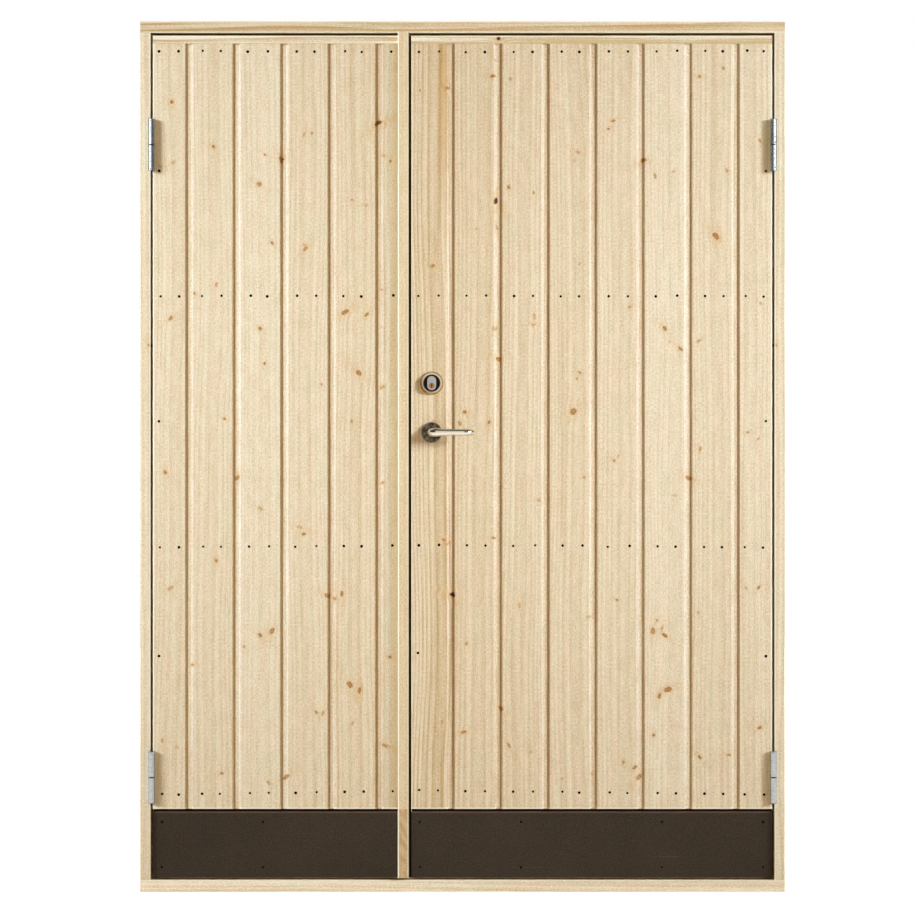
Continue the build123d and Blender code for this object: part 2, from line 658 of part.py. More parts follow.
def make_lever(name, face_y, outward):
    """A bent-bar lever: neck, elbow, tapering grip, and a tip that leans back towards the door."""
    lean = radians(GRIP_BEND_ANGLE)
    elbow_start = GRIP_PROJECTION - ELBOW_RADIUS
    taper_end = ELBOW_RADIUS + GRIP_TAPER_LENGTH
    bend_along = GRIP_BEND_START + GRIP_BEND_RADIUS * sin(lean)
    bend_off = GRIP_PROJECTION - GRIP_BEND_RADIUS * (1 - cos(lean))
    from_bottom = (Align.CENTER, Align.CENTER, Align.MIN)

    def point(along, off):
        return (SPINDLE_X + along, face_y + outward * off, LEVER_HEIGHT)

    def bar_end(along, off, angle):
        """A plane across the bar, which points off the door at 0 degrees and along it at 90."""
        turn = radians(angle)
        return Plane(origin=point(along, off), x_dir=(0, 0, 1), z_dir=(sin(turn), outward * cos(turn), 0))

    def bend(start, radius, centre_along, centre_off, angle):
        """Bends the bar on from a plane across it, round an upright axis."""
        with BuildSketch(start) as section:
            Circle(radius)
        centre = Axis(point(centre_along, centre_off), (0, 0, -outward))
        revolve(section.sketch, axis=centre, revolution_arc=angle)

    with BuildPart() as lever:
        with Locations(bar_end(0, 0, 0)):
            Cylinder(NECK_RADIUS, elbow_start, align=from_bottom)
        bend(bar_end(0, elbow_start, 0), NECK_RADIUS, ELBOW_RADIUS, elbow_start, 90)
        with Locations(bar_end(ELBOW_RADIUS, GRIP_PROJECTION, 90)):
            Cone(NECK_RADIUS, GRIP_RADIUS, GRIP_TAPER_LENGTH, align=from_bottom)
        with Locations(bar_end(taper_end, GRIP_PROJECTION, 90)):
            Cylinder(GRIP_RADIUS, GRIP_BEND_START - taper_end, align=from_bottom)
        bend(
            bar_end(GRIP_BEND_START, GRIP_PROJECTION, 90), GRIP_RADIUS,
            GRIP_BEND_START, GRIP_PROJECTION - GRIP_BEND_RADIUS, GRIP_BEND_ANGLE,
        )
        with Locations(bar_end(bend_along, bend_off, 90 + GRIP_BEND_ANGLE)):
            Cone(GRIP_RADIUS, GRIP_TIP_RADIUS, GRIP_TIP_LENGTH, align=from_bottom)
    save(lever, name)


def make_spindle():
    """The square bar between the two levers' necks."""
    with BuildPart() as spindle:
        with BuildSketch(face_plane(FRONT, 1, LEVER_HEIGHT)):
            Rectangle(SPINDLE_SIDE, SPINDLE_SIDE)
        extrude(amount=LEAF_THICKNESS)
    save(spindle, "spindle")


def make_thumb_turn():
    """The turn knob on the inside, at the cylinder's height."""
    with BuildPart() as turn:
        with BuildSketch(face_plane(LEAF_BACK, 1, CYLINDER_Z)):
            Circle(TURN_BASE_RADIUS)
        extrude(amount=TURN_BASE_HEIGHT)
        with BuildSketch(face_plane(LEAF_BACK + TURN_BASE_HEIGHT, 1, CYLINDER_Z)):
            SlotOverall(TURN_KNOB_LENGTH, TURN_KNOB_WIDTH, rotation=90)
        extrude(amount=TURN_KNOB_HEIGHT)
    save(turn, "thumb_turn")


def main():
    os.makedirs("parts", exist_ok=True)
    make_head()
    make_sill()
    make_rebate_seal()
    for leaf in (LEFT, RIGHT):
        make_jamb(leaf)
        make_frame_hinges(leaf)
        make_leaf_hinges(leaf)
        make_boards(leaf)
        make_stiles(leaf)
        make_rails(leaf)
        make_top_strip(leaf)
        make_kick_plate(leaf)
    make_meeting_post()
    make_meeting_seal()
    make_strike_plate()
    make_lock_case()
    make_cylinder_ring()
    make_cylinder()
    make_spindle()
    make_thumb_turn()
    for place, face_y, outward in (("outer", FRONT, -1), ("inner", LEAF_BACK, 1)):
        make_rose(f"{place}_rose", face_y, outward)
        make_lever(f"{place}_lever", face_y, outward)


main()
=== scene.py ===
"""Unequal boarded double door in untreated pine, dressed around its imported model, in metres."""

import json
import math

import bmesh
import bpy
import numpy as np
from mathutils import Matrix, Vector

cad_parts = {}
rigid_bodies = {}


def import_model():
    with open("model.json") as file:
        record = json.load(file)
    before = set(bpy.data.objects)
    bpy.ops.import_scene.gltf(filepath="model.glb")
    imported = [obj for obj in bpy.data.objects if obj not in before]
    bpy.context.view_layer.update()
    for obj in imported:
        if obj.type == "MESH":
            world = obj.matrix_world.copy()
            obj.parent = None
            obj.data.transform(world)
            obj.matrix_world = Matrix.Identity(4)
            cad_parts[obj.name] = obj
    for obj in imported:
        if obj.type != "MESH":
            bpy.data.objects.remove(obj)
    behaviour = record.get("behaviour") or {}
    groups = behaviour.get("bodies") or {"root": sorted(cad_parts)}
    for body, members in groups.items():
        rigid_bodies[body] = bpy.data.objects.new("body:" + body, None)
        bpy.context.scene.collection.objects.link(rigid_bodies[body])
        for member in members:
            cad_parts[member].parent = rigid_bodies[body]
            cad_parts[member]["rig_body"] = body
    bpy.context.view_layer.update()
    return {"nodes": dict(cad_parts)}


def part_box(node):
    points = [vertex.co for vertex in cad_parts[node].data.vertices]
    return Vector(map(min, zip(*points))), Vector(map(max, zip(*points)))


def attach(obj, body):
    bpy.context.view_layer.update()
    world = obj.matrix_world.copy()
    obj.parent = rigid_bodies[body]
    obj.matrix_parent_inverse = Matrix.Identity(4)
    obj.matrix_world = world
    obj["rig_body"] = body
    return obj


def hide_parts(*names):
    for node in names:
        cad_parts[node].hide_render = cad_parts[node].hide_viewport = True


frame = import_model()

MM = 0.001

# Planes and centres of the door that the fittings are set out from
BOARD_FACE_Y = -0.046
PLATE_FACE_Y = -0.036
POST_LEFT_X, POST_RIGHT_X = -0.147, -0.122
RIGHT_LEAF_X = -0.117
JAMB_INNER_X = 0.709
HEAD_UNDERSIDE_Z = 1.953
SILL_FACE_Z = 0.027
BOARD_FOOT_Z = 0.1885
LEAF_EDGE_X = 0.704
HINGE_HEIGHTS = (0.2605, 1.698)
HINGE_SCREW_Y = -0.030
HINGE_SCREW_OFFSETS = (0.014, 0.030, 0.046)
LOCK_X = -0.070
LEVER_Z = 1.0445
CYLINDER_Z = 1.1565
PLUG_Z = CYLINDER_Z - 0.0055
LOCK_MIDDLE_Z = LEVER_Z + 0.045
FOREND_X = -0.11357
FOREND_Y = -0.007
FOREND_SCREW_REACH = 0.105
STRIKE_X = -0.12543
STRIKE_SCREW_REACH = 0.075
LATCH_Z, LATCH_LENGTH = LEVER_Z + 0.009, 0.026
BOLT_Z, BOLT_LENGTH = LEVER_Z + 0.109, 0.030
HEARTWOOD_X = -0.044

# The knots that stand out, in mm: place across the door, height, radius, and how dark the knot is, with a
# dead black one over 1.1; those that both leaves have are given from the middle of the frame
MIRRORED_KNOTS = (
    (401, 261, 4.0, 0.7), (412, 1664, 4.0, 0.9), (433, 593, 4.8, 0.7), (460, 583, 3.2, 0.9),
    (460, 1281, 3.4, 0.8), (513, 941, 4.0, 0.7),
)
LEFT_KNOTS = (
    (-661, 1796, 3.6, 1.0), (-462, 1609, 4.2, 0.7), (-306, 673, 4.0, 0.7), (-267, 1318, 4.4, 0.8),
    (-256, 471, 5.2, 0.8), (-234, 458, 3.2, 0.9), (-236, 1180, 4.6, 0.8), (-191, 1749, 4.4, 1.25),
)
RIGHT_KNOTS = (
    (-22, 676, 4.4, 1.5), (5, 1091, 3.6, 0.9), (69, 1855, 3.2, 0.9), (76, 1571, 4.0, 1.5),
    (83, 1211, 4.2, 0.8), (88, 416, 4.0, 0.7), (252, 1092, 6.4, 0.8), (448, 446, 3.2, 0.9),
    (467, 460, 5.2, 0.8), (576, 1491, 5.4, 0.9),
)

# Nails through the boards into the rails: a row's height at the hinge edge, and its rise towards the other
NAIL_ROWS = ((1.912, -0.003), (1.354, 0.002), (0.7835, 0.006), (0.221, 0.013))
NAIL_RADIUS, NAIL_HEIGHT, NAIL_SINK = 0.0033, 0.0009, 0.0002
NAIL_TILT = 0.10
NAIL_SPREAD = 0.0215
NAIL_WANDER = 0.004
EDGE_NAIL_INSET = 0.014
EDGE_NAIL_HEIGHTS = (1.639, 1.070, 0.536)
MEETING_NAIL = (-0.101, 0.543)
PLATE_NAIL_HEIGHTS = (0.158, 0.055)
PLATE_NAIL_INSETS = (0.020, 0.250)

# Each board's tone, from the darker to the paler pine, and how streaky it is, from the hinge edge on; the
# tones fall towards the meeting edge, partly the boards' own tone and partly painted shade for light falling
# off across each leaf
LEFT_BOARD_TONES = ((0.85, 0.5), (0.80, 0.5), (1.00, 0.4), (0.72, 0.5), (0.55, 0.6), (0.30, 0.6))
RIGHT_BOARD_TONES = (
    (0.92, 0.5), (0.75, 0.5), (1.00, 0.4), (0.66, 0.5), (0.55, 0.5), (0.55, 0.6), (0.35, 0.6), (0.15, 1.2),
)
DARK_PINE = (0.716, 0.564, 0.361)
PALE_PINE = (0.812, 0.694, 0.500)
STRIP_PINE = (0.88, 0.777, 0.59)
# Painted highlight on the front edges: its pale colour and its width
ARRIS_HIGHLIGHT = (0.965, 0.89, 0.69)
ARRIS_HIGHLIGHT_WIDTH = 0.0042
WHITE = (1.0, 1.0, 1.0)
DEAD_KNOT = (0.045, 0.028, 0.018)
DARK_NICKEL = (0.020, 0.017, 0.012)

# Light: levels are the brightness that a white face of the door gets
KEY_LEVEL = 0.75
KEY_COLOUR = (0.83, 0.975, 1.165)
KEY_TOWARDS = (0.80, -0.543, 0.258)
FRONT_LEVEL = 0.07
BACK_LEVEL = 0.60
TOP_LEVEL = 0.40
ROOM_LEVEL = 0.24
ROOM_COLOUR = (1.33, 0.97, 0.48)
MIRRORED_SIDES = 0.08
FLOOR_LEVEL = 0.35
LAMP_TARGET_Z = 1.18
CAMERA_X, CAMERA_Z = -0.0125, 0.9886


class Value:
    """A value in a finish's nodes: arithmetic on it adds Math nodes."""

    def __init__(self, finish, output):
        self.finish = finish
        self.output = output

    def math(self, operation, *values):
        return self.finish.node("ShaderNodeMath", {"operation": operation}, dict(enumerate(values)))

    def __add__(self, other):
        return self.math("ADD", self, other)

    def __radd__(self, other):
        return self.math("ADD", other, self)

    def __sub__(self, other):
        return self.math("SUBTRACT", self, other)

    def __rsub__(self, other):
        return self.math("SUBTRACT", other, self)

    def __mul__(self, other):
        return self.math("MULTIPLY", self, other)

    def __rmul__(self, other):
        return self.math("MULTIPLY", other, self)

    def __truediv__(self, other):
        return self.math("DIVIDE", self, other)

    def root(self):
        return self.math("SQRT", self)

    def fraction(self):
        return self.math("FRACT", self)

    def least(self, other):
        return self.math("MINIMUM", self, other)

    def most(self, other):
        return self.math("MAXIMUM", self, other)

    def size(self):
        return self.math("ABSOLUTE", self)

    def decay(self):
        """e to the power of minus this value."""
        return self.math("EXPONENT", self * -1.0)

    def rise(self, low, high):
        """0 below low, 1 above high, smooth between; falls where low is the greater."""
        if low > high:
            return 1 - self.rise(high, low)
        return self.finish.node(
            "ShaderNodeMapRange",
            {"interpolation_type": "SMOOTHSTEP"},
            {"Value": self, "From Min": low, "From Max": high, "To Min": 0.0, "To Max": 1.0},
        )


class Nodes:
    """A tree of shader nodes, and the methods that the finishes and the room are written in."""

    def __init__(self, tree):
        self.tree = tree

    def node(self, kind, settings=None, inputs=None, output=0):
        made = self.tree.nodes.new(kind)
        for name, value in (settings or {}).items():
            setattr(made, name, value)
        for name, value in (inputs or {}).items():
            self.feed(made.inputs[name], value)
        return Value(self, made.outputs[output])

    def feed(self, socket, value):
        if isinstance(value, Value):
            self.tree.links.new(value.output, socket)
        elif isinstance(value, tuple) and len(value) == 3 and socket.type == "RGBA":
            socket.default_value = (*value, 1.0)
        else:
            socket.default_value = value

    def split(self, vector):
        made = self.tree.nodes.new("ShaderNodeSeparateXYZ")
        self.feed(made.inputs[0], vector)
        return tuple(Value(self, output) for output in made.outputs)

    def join(self, x, y, z):
        return self.node("ShaderNodeCombineXYZ", None, {0: x, 1: y, 2: z})

    def attribute(self, name, output="Vector"):
        return self.node("ShaderNodeAttribute", {"attribute_name": name}, None, output)

    def noise(self, vector, scale=1.0, detail=2.0, roughness=0.5):
        """Soft noise from 0 to 1 over a vector."""
        return self.node(
            "ShaderNodeTexNoise",
            {"noise_dimensions": "3D"},
            {"Vector": vector, "Scale": scale, "Detail": detail, "Roughness": roughness},
        )

    def cells(self, vector, scale, output="Color"):
        return self.node("ShaderNodeTexVoronoi", None, {"Vector": vector, "Scale": scale}, output)

    def blend(self, first, second, share):
        """A colour between two others."""
        return self.node(
            "ShaderNodeMix", {"data_type": "RGBA"}, {0: share, 6: first, 7: second}, output=2
        )

    def multiply(self, first, second):
        """Two colours multiplied channel by channel."""
        return self.node("ShaderNodeVectorMath", {"operation": "MULTIPLY"}, {0: first, 1: second})

    def tinted(self, colour, tint, share):
        """A colour multiplied by a tint, as far as a share says."""
        return self.multiply(colour, self.blend(WHITE, tint, share))

    def bump(self, height, strength, distance):
        return self.node(
            "ShaderNodeBump", None, {"Height": height, "Strength": strength, "Distance": distance}
        )


class Finish(Nodes):
    """A material and its shader, with the place on the door as x, y and z."""

    def __init__(self, name, **constants):
        self.material = bpy.data.materials.new(name)
        self.material.use_nodes = True
        super().__init__(self.material.node_tree)
        self.shader = self.tree.nodes["Principled BSDF"]
        for socket, value in constants.items():
            self.shader.inputs[socket.replace("_", " ")].default_value = value
        self.place = self.node("ShaderNodeTexCoord", output="Object")
        self.x, self.y, self.z = self.split(self.place)

    def paint(self, **sockets):
        """Links what varies over the surface to the shader."""
        for name, value in sockets.items():
            self.feed(self.shader.inputs[name.replace("_", " ")], value)
        return self.material


def knot_marks(finish, across, along, radius, strength):
    """A knot's heart, its dark rim, the stained grain round it, and how far it turns the grain aside."""
    wobble = finish.noise(finish.place, 330.0, 2.0, 0.6) - 0.5
    near_across = across / radius + wobble * 1.5
    near_along = along / radius + wobble * 0.8
    reach = (near_across * near_across + near_along * near_along).root()
    there = strength.rise(0.0, 0.9) if isinstance(strength, Value) else 1.0
    heart = reach.rise(1.20, 0.80) * there
    rim = (1 - ((reach - 0.95) * 2.4).size()).most(0.0) * there
    fade = (near_across * near_across * 0.16 + near_along * near_along * 0.05).decay()
    turn = across * fade * strength * 1.1
    return heart, rim, fade * strength, turn, strength


def pine(name, dark, pale, tone, across, depth, along, seed, streak=0.5, knots=(), highlit_arrises=(), recolour=None):
    """Planed pine: growth rings cut along the tree, streaks, fine fibres, and knots that turn the grain.

    Across, depth and along are the piece's own directions, as functions of the finish. The front edges in
    highlit_arrises get a painted highlight, paler as if they caught the light: an axis, the edge's place on
    it, and the front face's depth.
    """
    ring_pitch, pith_depth = 0.0062, 0.045
    finish = Finish(name, Specular_IOR_Level=0.25)
    across, depth, along = across(finish), depth(finish), along(finish)
    seed = seed(finish)
    tone = tone(finish) if callable(tone) else tone
    streak = streak(finish) if callable(streak) else streak
    marks = [knot_marks(finish, *knot(finish)) for knot in knots]
    for mark in marks:
        across = across - mark[3]
    slow = finish.noise(finish.join(along * 0.55, seed * 3.7, across * 1.6))
    sway = finish.noise(finish.join(along * 2.1, seed * 5.3 + 11.0, across * 4.0))
    off = finish.noise(finish.join(seed * 9.1, 3.0, 0.0), 1.0, 0.0)
    ring_across = across + (slow - 0.5) * 0.10 + (sway - 0.5) * 0.016 + (off - 0.5) * 0.09
    ring_depth = depth + pith_depth
    rings = (ring_across * ring_across + ring_depth * ring_depth).root() / ring_pitch
    phase = (rings + sway * 0.6).fraction()
    late = phase.rise(0.30, 0.92) * phase.rise(1.0, 0.93)
    band = finish.noise(finish.join(across * 62.0, seed * 7.0 + depth * 62.0, along * 0.8), 1.0, 2.0, 0.55)
    line = finish.noise(finish.join(across * 230.0, seed * 4.0 + depth * 230.0, along * 2.6), 1.0, 2.0, 0.6)
    warm = finish.noise(finish.join(across * 24.0, seed * 13.0, along * 0.7))
    resin = finish.noise(finish.join(across * 150.0, seed * 17.0, along * 1.6))
    fibre = finish.noise(finish.join(across * 1100.0, depth * 1100.0, along * 60.0 + seed), 1.0, 2.0, 0.6)
    fleck = finish.noise(finish.join(across * 430.0, depth * 430.0, along * 210.0 + seed), 1.0, 2.0, 0.7)
    patch = finish.noise(finish.join(across * 60.0, depth * 60.0, along * 22.0 + seed * 2.0), 1.0, 3.0, 0.6)
    hue = finish.noise(finish.join(across * 45.0, seed * 6.0, along * 9.0))
    body = finish.blend(dark, pale, tone)
    light = finish.multiply(body, (1.13, 1.17, 1.25))
    deep = finish.multiply(body, (0.74, 0.62, 0.44))
    grain = (band - 0.5) * 0.8 + (line - 0.5) * 1.0 + (late - 0.25) * 0.40
    share = 0.37 + grain * streak + (patch - 0.5) * 0.6 + (fleck - 0.5) * 2.0 + (fibre - 0.5) * 0.6
    share = share + warm.rise(0.58, 0.80) * streak * 0.40 + resin.rise(0.64, 0.78) * 0.30
    colour = finish.blend(light, deep, share.most(0.0).least(1.0))
    warmth = finish.blend((0.985, 1.01, 0.985), (1.02, 0.985, 0.985), hue.rise(0.3, 0.7))
    colour = finish.multiply(colour, warmth)
    for heart, rim, tinted, _, strength in marks:
        flame = finish.noise(finish.place, 480.0, 2.0, 0.6)
        burnt = ((flame - 0.5) * 3.4 + strength * 0.60).most(0.0).least(1.0)
        core = finish.blend((0.70, 0.36, 0.10), (0.20, 0.060, 0.006), burnt)
        colour = finish.blend(colour, (0.70, 0.42, 0.16), tinted.least(1.0) * 0.45)
        if isinstance(strength, Value):
            core = finish.blend(core, DEAD_KNOT, strength.rise(1.1, 1.4))
        elif strength > 1:
            core = DEAD_KNOT
        colour = finish.blend(colour, core, heart)
        colour = finish.blend(colour, (0.26, 0.085, 0.012), rim * 0.45)
    if recolour is not None:
        colour = recolour(finish, colour)
    # Painted highlight: the front edges are paler, as if they caught the light
    for axis, place, front in highlit_arrises:
        painted_light_share = (getattr(finish, axis) - place).size().rise(ARRIS_HIGHLIGHT_WIDTH, ARRIS_HIGHLIGHT_WIDTH * 0.4)
        painted_light_share = painted_light_share * (finish.y - front).rise(0.005, 0.003)
        colour = finish.blend(colour, ARRIS_HIGHLIGHT, painted_light_share * 0.85)
    rough = 0.56 + (fibre - 0.5) * 0.16 + late * 0.05
    relief = fibre * 0.5 + late * 0.35
    return finish.paint(
        Base_Color=colour, Roughness=rough, Normal=finish.bump(relief, 0.35, 0.0004)
    )


def constant(number):
    return lambda finish: number


def side(axis, centre=0.0):
    """A direction of the door, measured from a piece's centre."""
    return lambda finish: getattr(finish, axis) - centre


def stored_knot(name, share):
    """A knot whose place the boards' meshes carry."""
    def read(finish):
        across, along, radius = finish.split(finish.attribute(name))
        strengths = finish.split(finish.attribute("knot_strength"))
        return across, along, radius, strengths[share]
    return read


def fixed_knot(across_axis, across, along_axis, along, radius, strength=0.9):
    """A single knot in a piece of the frame."""
    return lambda finish: (
        getattr(finish, across_axis) - across, getattr(finish, along_axis) - along, radius, strength
    )


def painted_shade_and_heartwood(finish, colour):
    """Painted shade in the bevels that face away from the lamp, toned-down bevels that face it, one streak of
    heartwood, and a painted shadow of the post on the board next to it.
    """
    facing = finish.split(finish.node("ShaderNodeTexCoord", output="Normal"))[0]
    middle = (POST_RIGHT_X + RIGHT_LEAF_X) / 2
    on_right = finish.x.rise(middle - 0.0002, middle + 0.0002)
    away_from_lamp = facing * (1 - on_right * 2)
    deep = (finish.y - BOARD_FACE_Y).rise(0.0012, 0.0045)
    # Painted shade in the grooves: bevels facing away from the leaf's lamp are darker, most towards the
    # groove's bottom
    bevel_shade = away_from_lamp.rise(0.40, 0.60) * away_from_lamp.rise(0.95, 0.85) * (deep * 0.75 + 0.25)
    colour = finish.tinted(colour, (0.70, 0.55, 0.34), bevel_shade)
    # Painted shade that tones down the bevels facing the lamp
    colour = finish.tinted(colour, (0.88, 0.87, 0.92), away_from_lamp.rise(-0.40, -0.60))
    heartwood = ((finish.x - HEARTWOOD_X) / 0.013).size().rise(1.2, 0.4) * finish.z.rise(1.42, 1.84)
    colour = finish.tinted(colour, (0.86, 0.72, 0.52), heartwood)
    on_left = 1 - on_right
    # Painted shade on the left leaf's last board: a slight darkening, then a soft painted shadow of the post
    painted_light_share = finish.x.rise(POST_LEFT_X - 0.042, POST_LEFT_X - 0.026) * on_left
    post_shadow = finish.x.rise(POST_LEFT_X - 0.025, POST_LEFT_X - 0.001) * on_left
    colour = finish.tinted(colour, (0.91, 0.95, 0.97), painted_light_share)
    return finish.tinted(colour, (0.80, 0.71, 0.57), post_shadow)


def darker_foot(finish, colour):
    """The post is darker below the boards' foot, more so in blotches."""
    blotch = finish.noise(finish.join(finish.x * 60.0, 0.0, finish.z * 60.0 + finish.x * 90.0), 1.0, 3.0)
    low = finish.z.rise(BOARD_FOOT_Z + 0.002, BOARD_FOOT_Z - 0.002)
    colour = finish.tinted(colour, (0.84, 0.77, 0.67), low)
    return finish.tinted(colour, (0.86, 0.78, 0.70), low * blotch.rise(0.45, 0.60))


def boarding_pine():
    """The boards' pine: each board's own centre, tone, streakiness and number come from its mesh."""
    def part(index):
        return lambda finish: finish.split(finish.attribute("board"))[index]
    edges = (("z", BOARD_FOOT_Z), ("x", -LEAF_EDGE_X), ("x", LEAF_EDGE_X), ("x", RIGHT_LEAF_X))
    return pine(
        "pine_boards", DARK_PINE, PALE_PINE, part(1), part(0), side("y", BOARD_FACE_Y), side("z"),
        lambda finish: finish.attribute("board_number", "Fac"), part(2),
        (stored_knot("knot_near", 0), stored_knot("knot_next", 1)),
        [(axis, place, BOARD_FACE_Y) for axis, place in edges], painted_shade_and_heartwood,
    )


def film_faced_plywood():
    """Dark brown phenolic film on the faces, and the plies' glue lines on the edges."""
    finish = Finish("film_faced_plywood", Specular_IOR_Level=0.14)
    normal = finish.split(finish.node("ShaderNodeTexCoord", output="Normal"))
    edge = normal[1].size().rise(0.7, 0.4)
    cloud = finish.noise(finish.place, 7.0, 4.0, 0.6)
    speck = finish.noise(finish.place, 420.0, 2.0, 0.7)
    drag = finish.noise(finish.join(finish.x * 3.0, finish.y, finish.z * 160.0), 1.0, 3.0)
    film = finish.blend((0.022, 0.014, 0.008), (0.061, 0.043, 0.027), cloud * 0.6 + (speck - 0.5) * 3.2 + 0.2)
    scuff = drag.rise(0.66, 0.80) * cloud.rise(0.45, 0.65)
    film = finish.blend(film, (0.11, 0.085, 0.06), scuff * 0.35)
    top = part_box("left_kick_plate")[1].z
    # A paler brown band along the face's top: a painted highlight that stands in for the plate's lit top edge
    film = finish.blend(film, (0.16, 0.085, 0.055), finish.z.rise(top - 0.0030, top - 0.0016) * 0.8)
    ply_thickness = 0.0015
    ply = ((finish.y - PLATE_FACE_Y) / ply_thickness).fraction()
    veneer = finish.noise(finish.join(finish.x * 60.0, finish.y * 900.0, finish.z * 60.0), 1.0, 3.0)
    plies = finish.blend((0.36, 0.20, 0.085), (0.50, 0.31, 0.15), veneer)
    plies = finish.blend(plies, (0.10, 0.045, 0.02), ply.rise(0.72, 0.86))
    return finish.paint(
        Base_Color=finish.blend(film, plies, edge),
        Roughness=0.42 + (speck - 0.5) * 0.18 + edge * 0.3 + scuff * 0.15,
        Normal=finish.bump(speck * 0.6 + cloud * 0.4, 0.2, 0.0003),
    )


def galvanised_steel():
    """Zinc-plated steel with a faint blue and uneven plating, with painted shade at the knuckles' ends and
    split.
    """
    finish = Finish("galvanised_steel")
    flake = finish.split(finish.cells(finish.place, 380.0))[0]
    cloud = finish.noise(finish.place, 90.0, 3.0, 0.6)
    drawn = finish.noise(finish.join(finish.x * 900.0, finish.y * 900.0, finish.z * 25.0))
    tone = flake * 0.25 + cloud * 0.5 + drawn * 0.25
    colour = finish.blend((0.30, 0.33, 0.36), (0.62, 0.65, 0.68), tone)
    from_middle = (finish.z - HINGE_HEIGHTS[0]).size().least((finish.z - HINGE_HEIGHTS[1]).size())
    # Painted shade: dark, less metallic bands at the split between the knuckles and at their ends
    knuckle_shade = from_middle.rise(0.0018, 0.0010).most(from_middle.rise(0.0565, 0.0590) * 0.6)
    colour = finish.blend(colour, (0.020, 0.019, 0.017), knuckle_shade)
    return finish.paint(
        Base_Color=colour, Metallic=(0.92 + tone * 0.08) * (1 - knuckle_shade * 0.8), Roughness=0.20 + cloud * 0.07,
        Normal=finish.bump(drawn * 0.6 + flake * 0.4, 0.15, 0.0002),
    )


def seal_rubber():
    """Black extruded rubber with a dull bloom."""
    finish = Finish("seal_rubber", Specular_IOR_Level=0.10)
    bloom = finish.noise(finish.place, 60.0, 4.0, 0.6)
    drawn = finish.noise(finish.join(finish.x * 700.0, finish.y * 700.0, finish.z * 6.0))
    return finish.paint(
        Base_Color=finish.blend((0.006, 0.006, 0.006), (0.020, 0.019, 0.018), bloom),
        Roughness=0.62 + drawn * 0.2, Normal=finish.bump(drawn, 0.2, 0.0002),
    )


def brushed_nickel(name, low, high, roughness, turned_at=None):
    """Nickel plate with fine brush lines, along the piece or round a turned centre."""
    finish = Finish(name)
    if turned_at is None:
        lines = finish.join(finish.x * 40.0, finish.y * 1400.0, finish.z * 1400.0)
    else:
        across, up = finish.x - turned_at[0], finish.z - turned_at[1]
        radius = (across * across + up * up).root()
        lines = finish.join(radius * 1900.0, finish.y * 1400.0, 0.0)
    brush = finish.noise(lines, 1.0, 2.0, 0.6)
    handled = finish.noise(finish.place, 120.0, 4.0, 0.6)
    colour = finish.blend(low, high, brush * 0.5 + handled * 0.5)
    rough = roughness + (brush - 0.5) * 0.10 + (handled - 0.5) * 0.08
    return finish, brush, handled, colour, rough


def nickel_finish(name, low, high, roughness, turned_at=None):
    finish, brush, handled, colour, rough = brushed_nickel(name, low, high, roughness, turned_at)
    return finish.paint(
        Base_Color=colour, Metallic=0.96 + handled * 0.04, Roughness=rough,
        Normal=finish.bump(brush, 0.08, 0.0002),
    )


def ring_finish():
    """The cylinder ring: pale; brass-brown, partly wear and partly painted shade, on its lower left and rim;
    painted black shade where it dips in round the cylinder.
    """
    centre = (LOCK_X, CYLINDER_Z)
    mouth, rim = 0.0199, 0.0240
    finish, brush, handled, colour, rough = brushed_nickel(
        "ring_nickel", (0.52, 0.42, 0.27), (0.76, 0.67, 0.51), 0.22, centre
    )
    across, up = finish.x - centre[0], finish.z - centre[1]
    radius = (across * across + up * up).root()
    # Painted shade: black in the mouth round the cylinder; brass-brown on the lower left, away from the lamp,
    # and at the outer rim, partly wear
    mouth_shade = radius.rise(mouth, mouth - 0.0007)
    wear_and_shade = ((across + up) / radius).rise(0.3, -1.4) * 0.75
    colour = finish.blend(colour, (0.42, 0.27, 0.10), wear_and_shade.most(radius.rise(rim, rim + 0.0022) * 0.9))
    return finish.paint(
        Base_Color=finish.blend(colour, (0.018, 0.018, 0.020), mouth_shade),
        Metallic=(1 - mouth_shade) * 0.96, Roughness=rough + mouth_shade * 0.2,
        Normal=finish.bump(brush, 0.08, 0.0002),
    )


def rose_finish():
    """The roses: dark nickel with a mottled brown wear."""
    finish, brush, handled, _, rough = brushed_nickel(
        "dark_nickel", DARK_NICKEL, DARK_NICKEL, 0.24, (LOCK_X, LEVER_Z)
    )
    wear_and_shade = finish.noise(finish.place, 210.0, 3.0, 0.6).rise(0.36, 0.68)
    return finish.paint(
        Base_Color=finish.blend(DARK_NICKEL, (0.21, 0.175, 0.12), wear_and_shade * 0.8 + brush * 0.2),
        Metallic=0.9 + handled * 0.1, Roughness=rough + wear_and_shade * 0.14,
        Normal=finish.bump(brush * 0.4 + wear_and_shade * 0.6, 0.25, 0.0004),
    )


def cylinder_finish():
    """The lock cylinder: silver body, brass plug, and its keyway painted black as shade."""
    finish, brush, handled, colour, rough = brushed_nickel(
        "cylinder_nickel", (0.26, 0.25, 0.24), (0.62, 0.61, 0.59), 0.34
    )
    across, up = finish.x - LOCK_X, finish.z - PLUG_Z
    plug_radius, half_width, half_height = 0.0062, 0.0009, 0.0038
    plug = (across * across + up * up).root().rise(plug_radius + 0.0006, plug_radius)
    # Painted shade: the keyway is painted black
    slot = across.size().rise(half_width + 0.0004, half_width)
    slot = slot * up.size().rise(half_height + 0.0006, half_height)
    brass = finish.blend((0.28, 0.13, 0.045), (0.50, 0.28, 0.11), brush * 0.5 + handled * 0.5)
    colour = finish.blend(finish.blend(colour, brass, plug), (0.012, 0.010, 0.008), slot)
    return finish.paint(
        Base_Color=colour, Metallic=(1 - slot) * 0.95, Roughness=rough + slot * 0.4,
        Normal=finish.bump(brush, 0.08, 0.0002),
    )


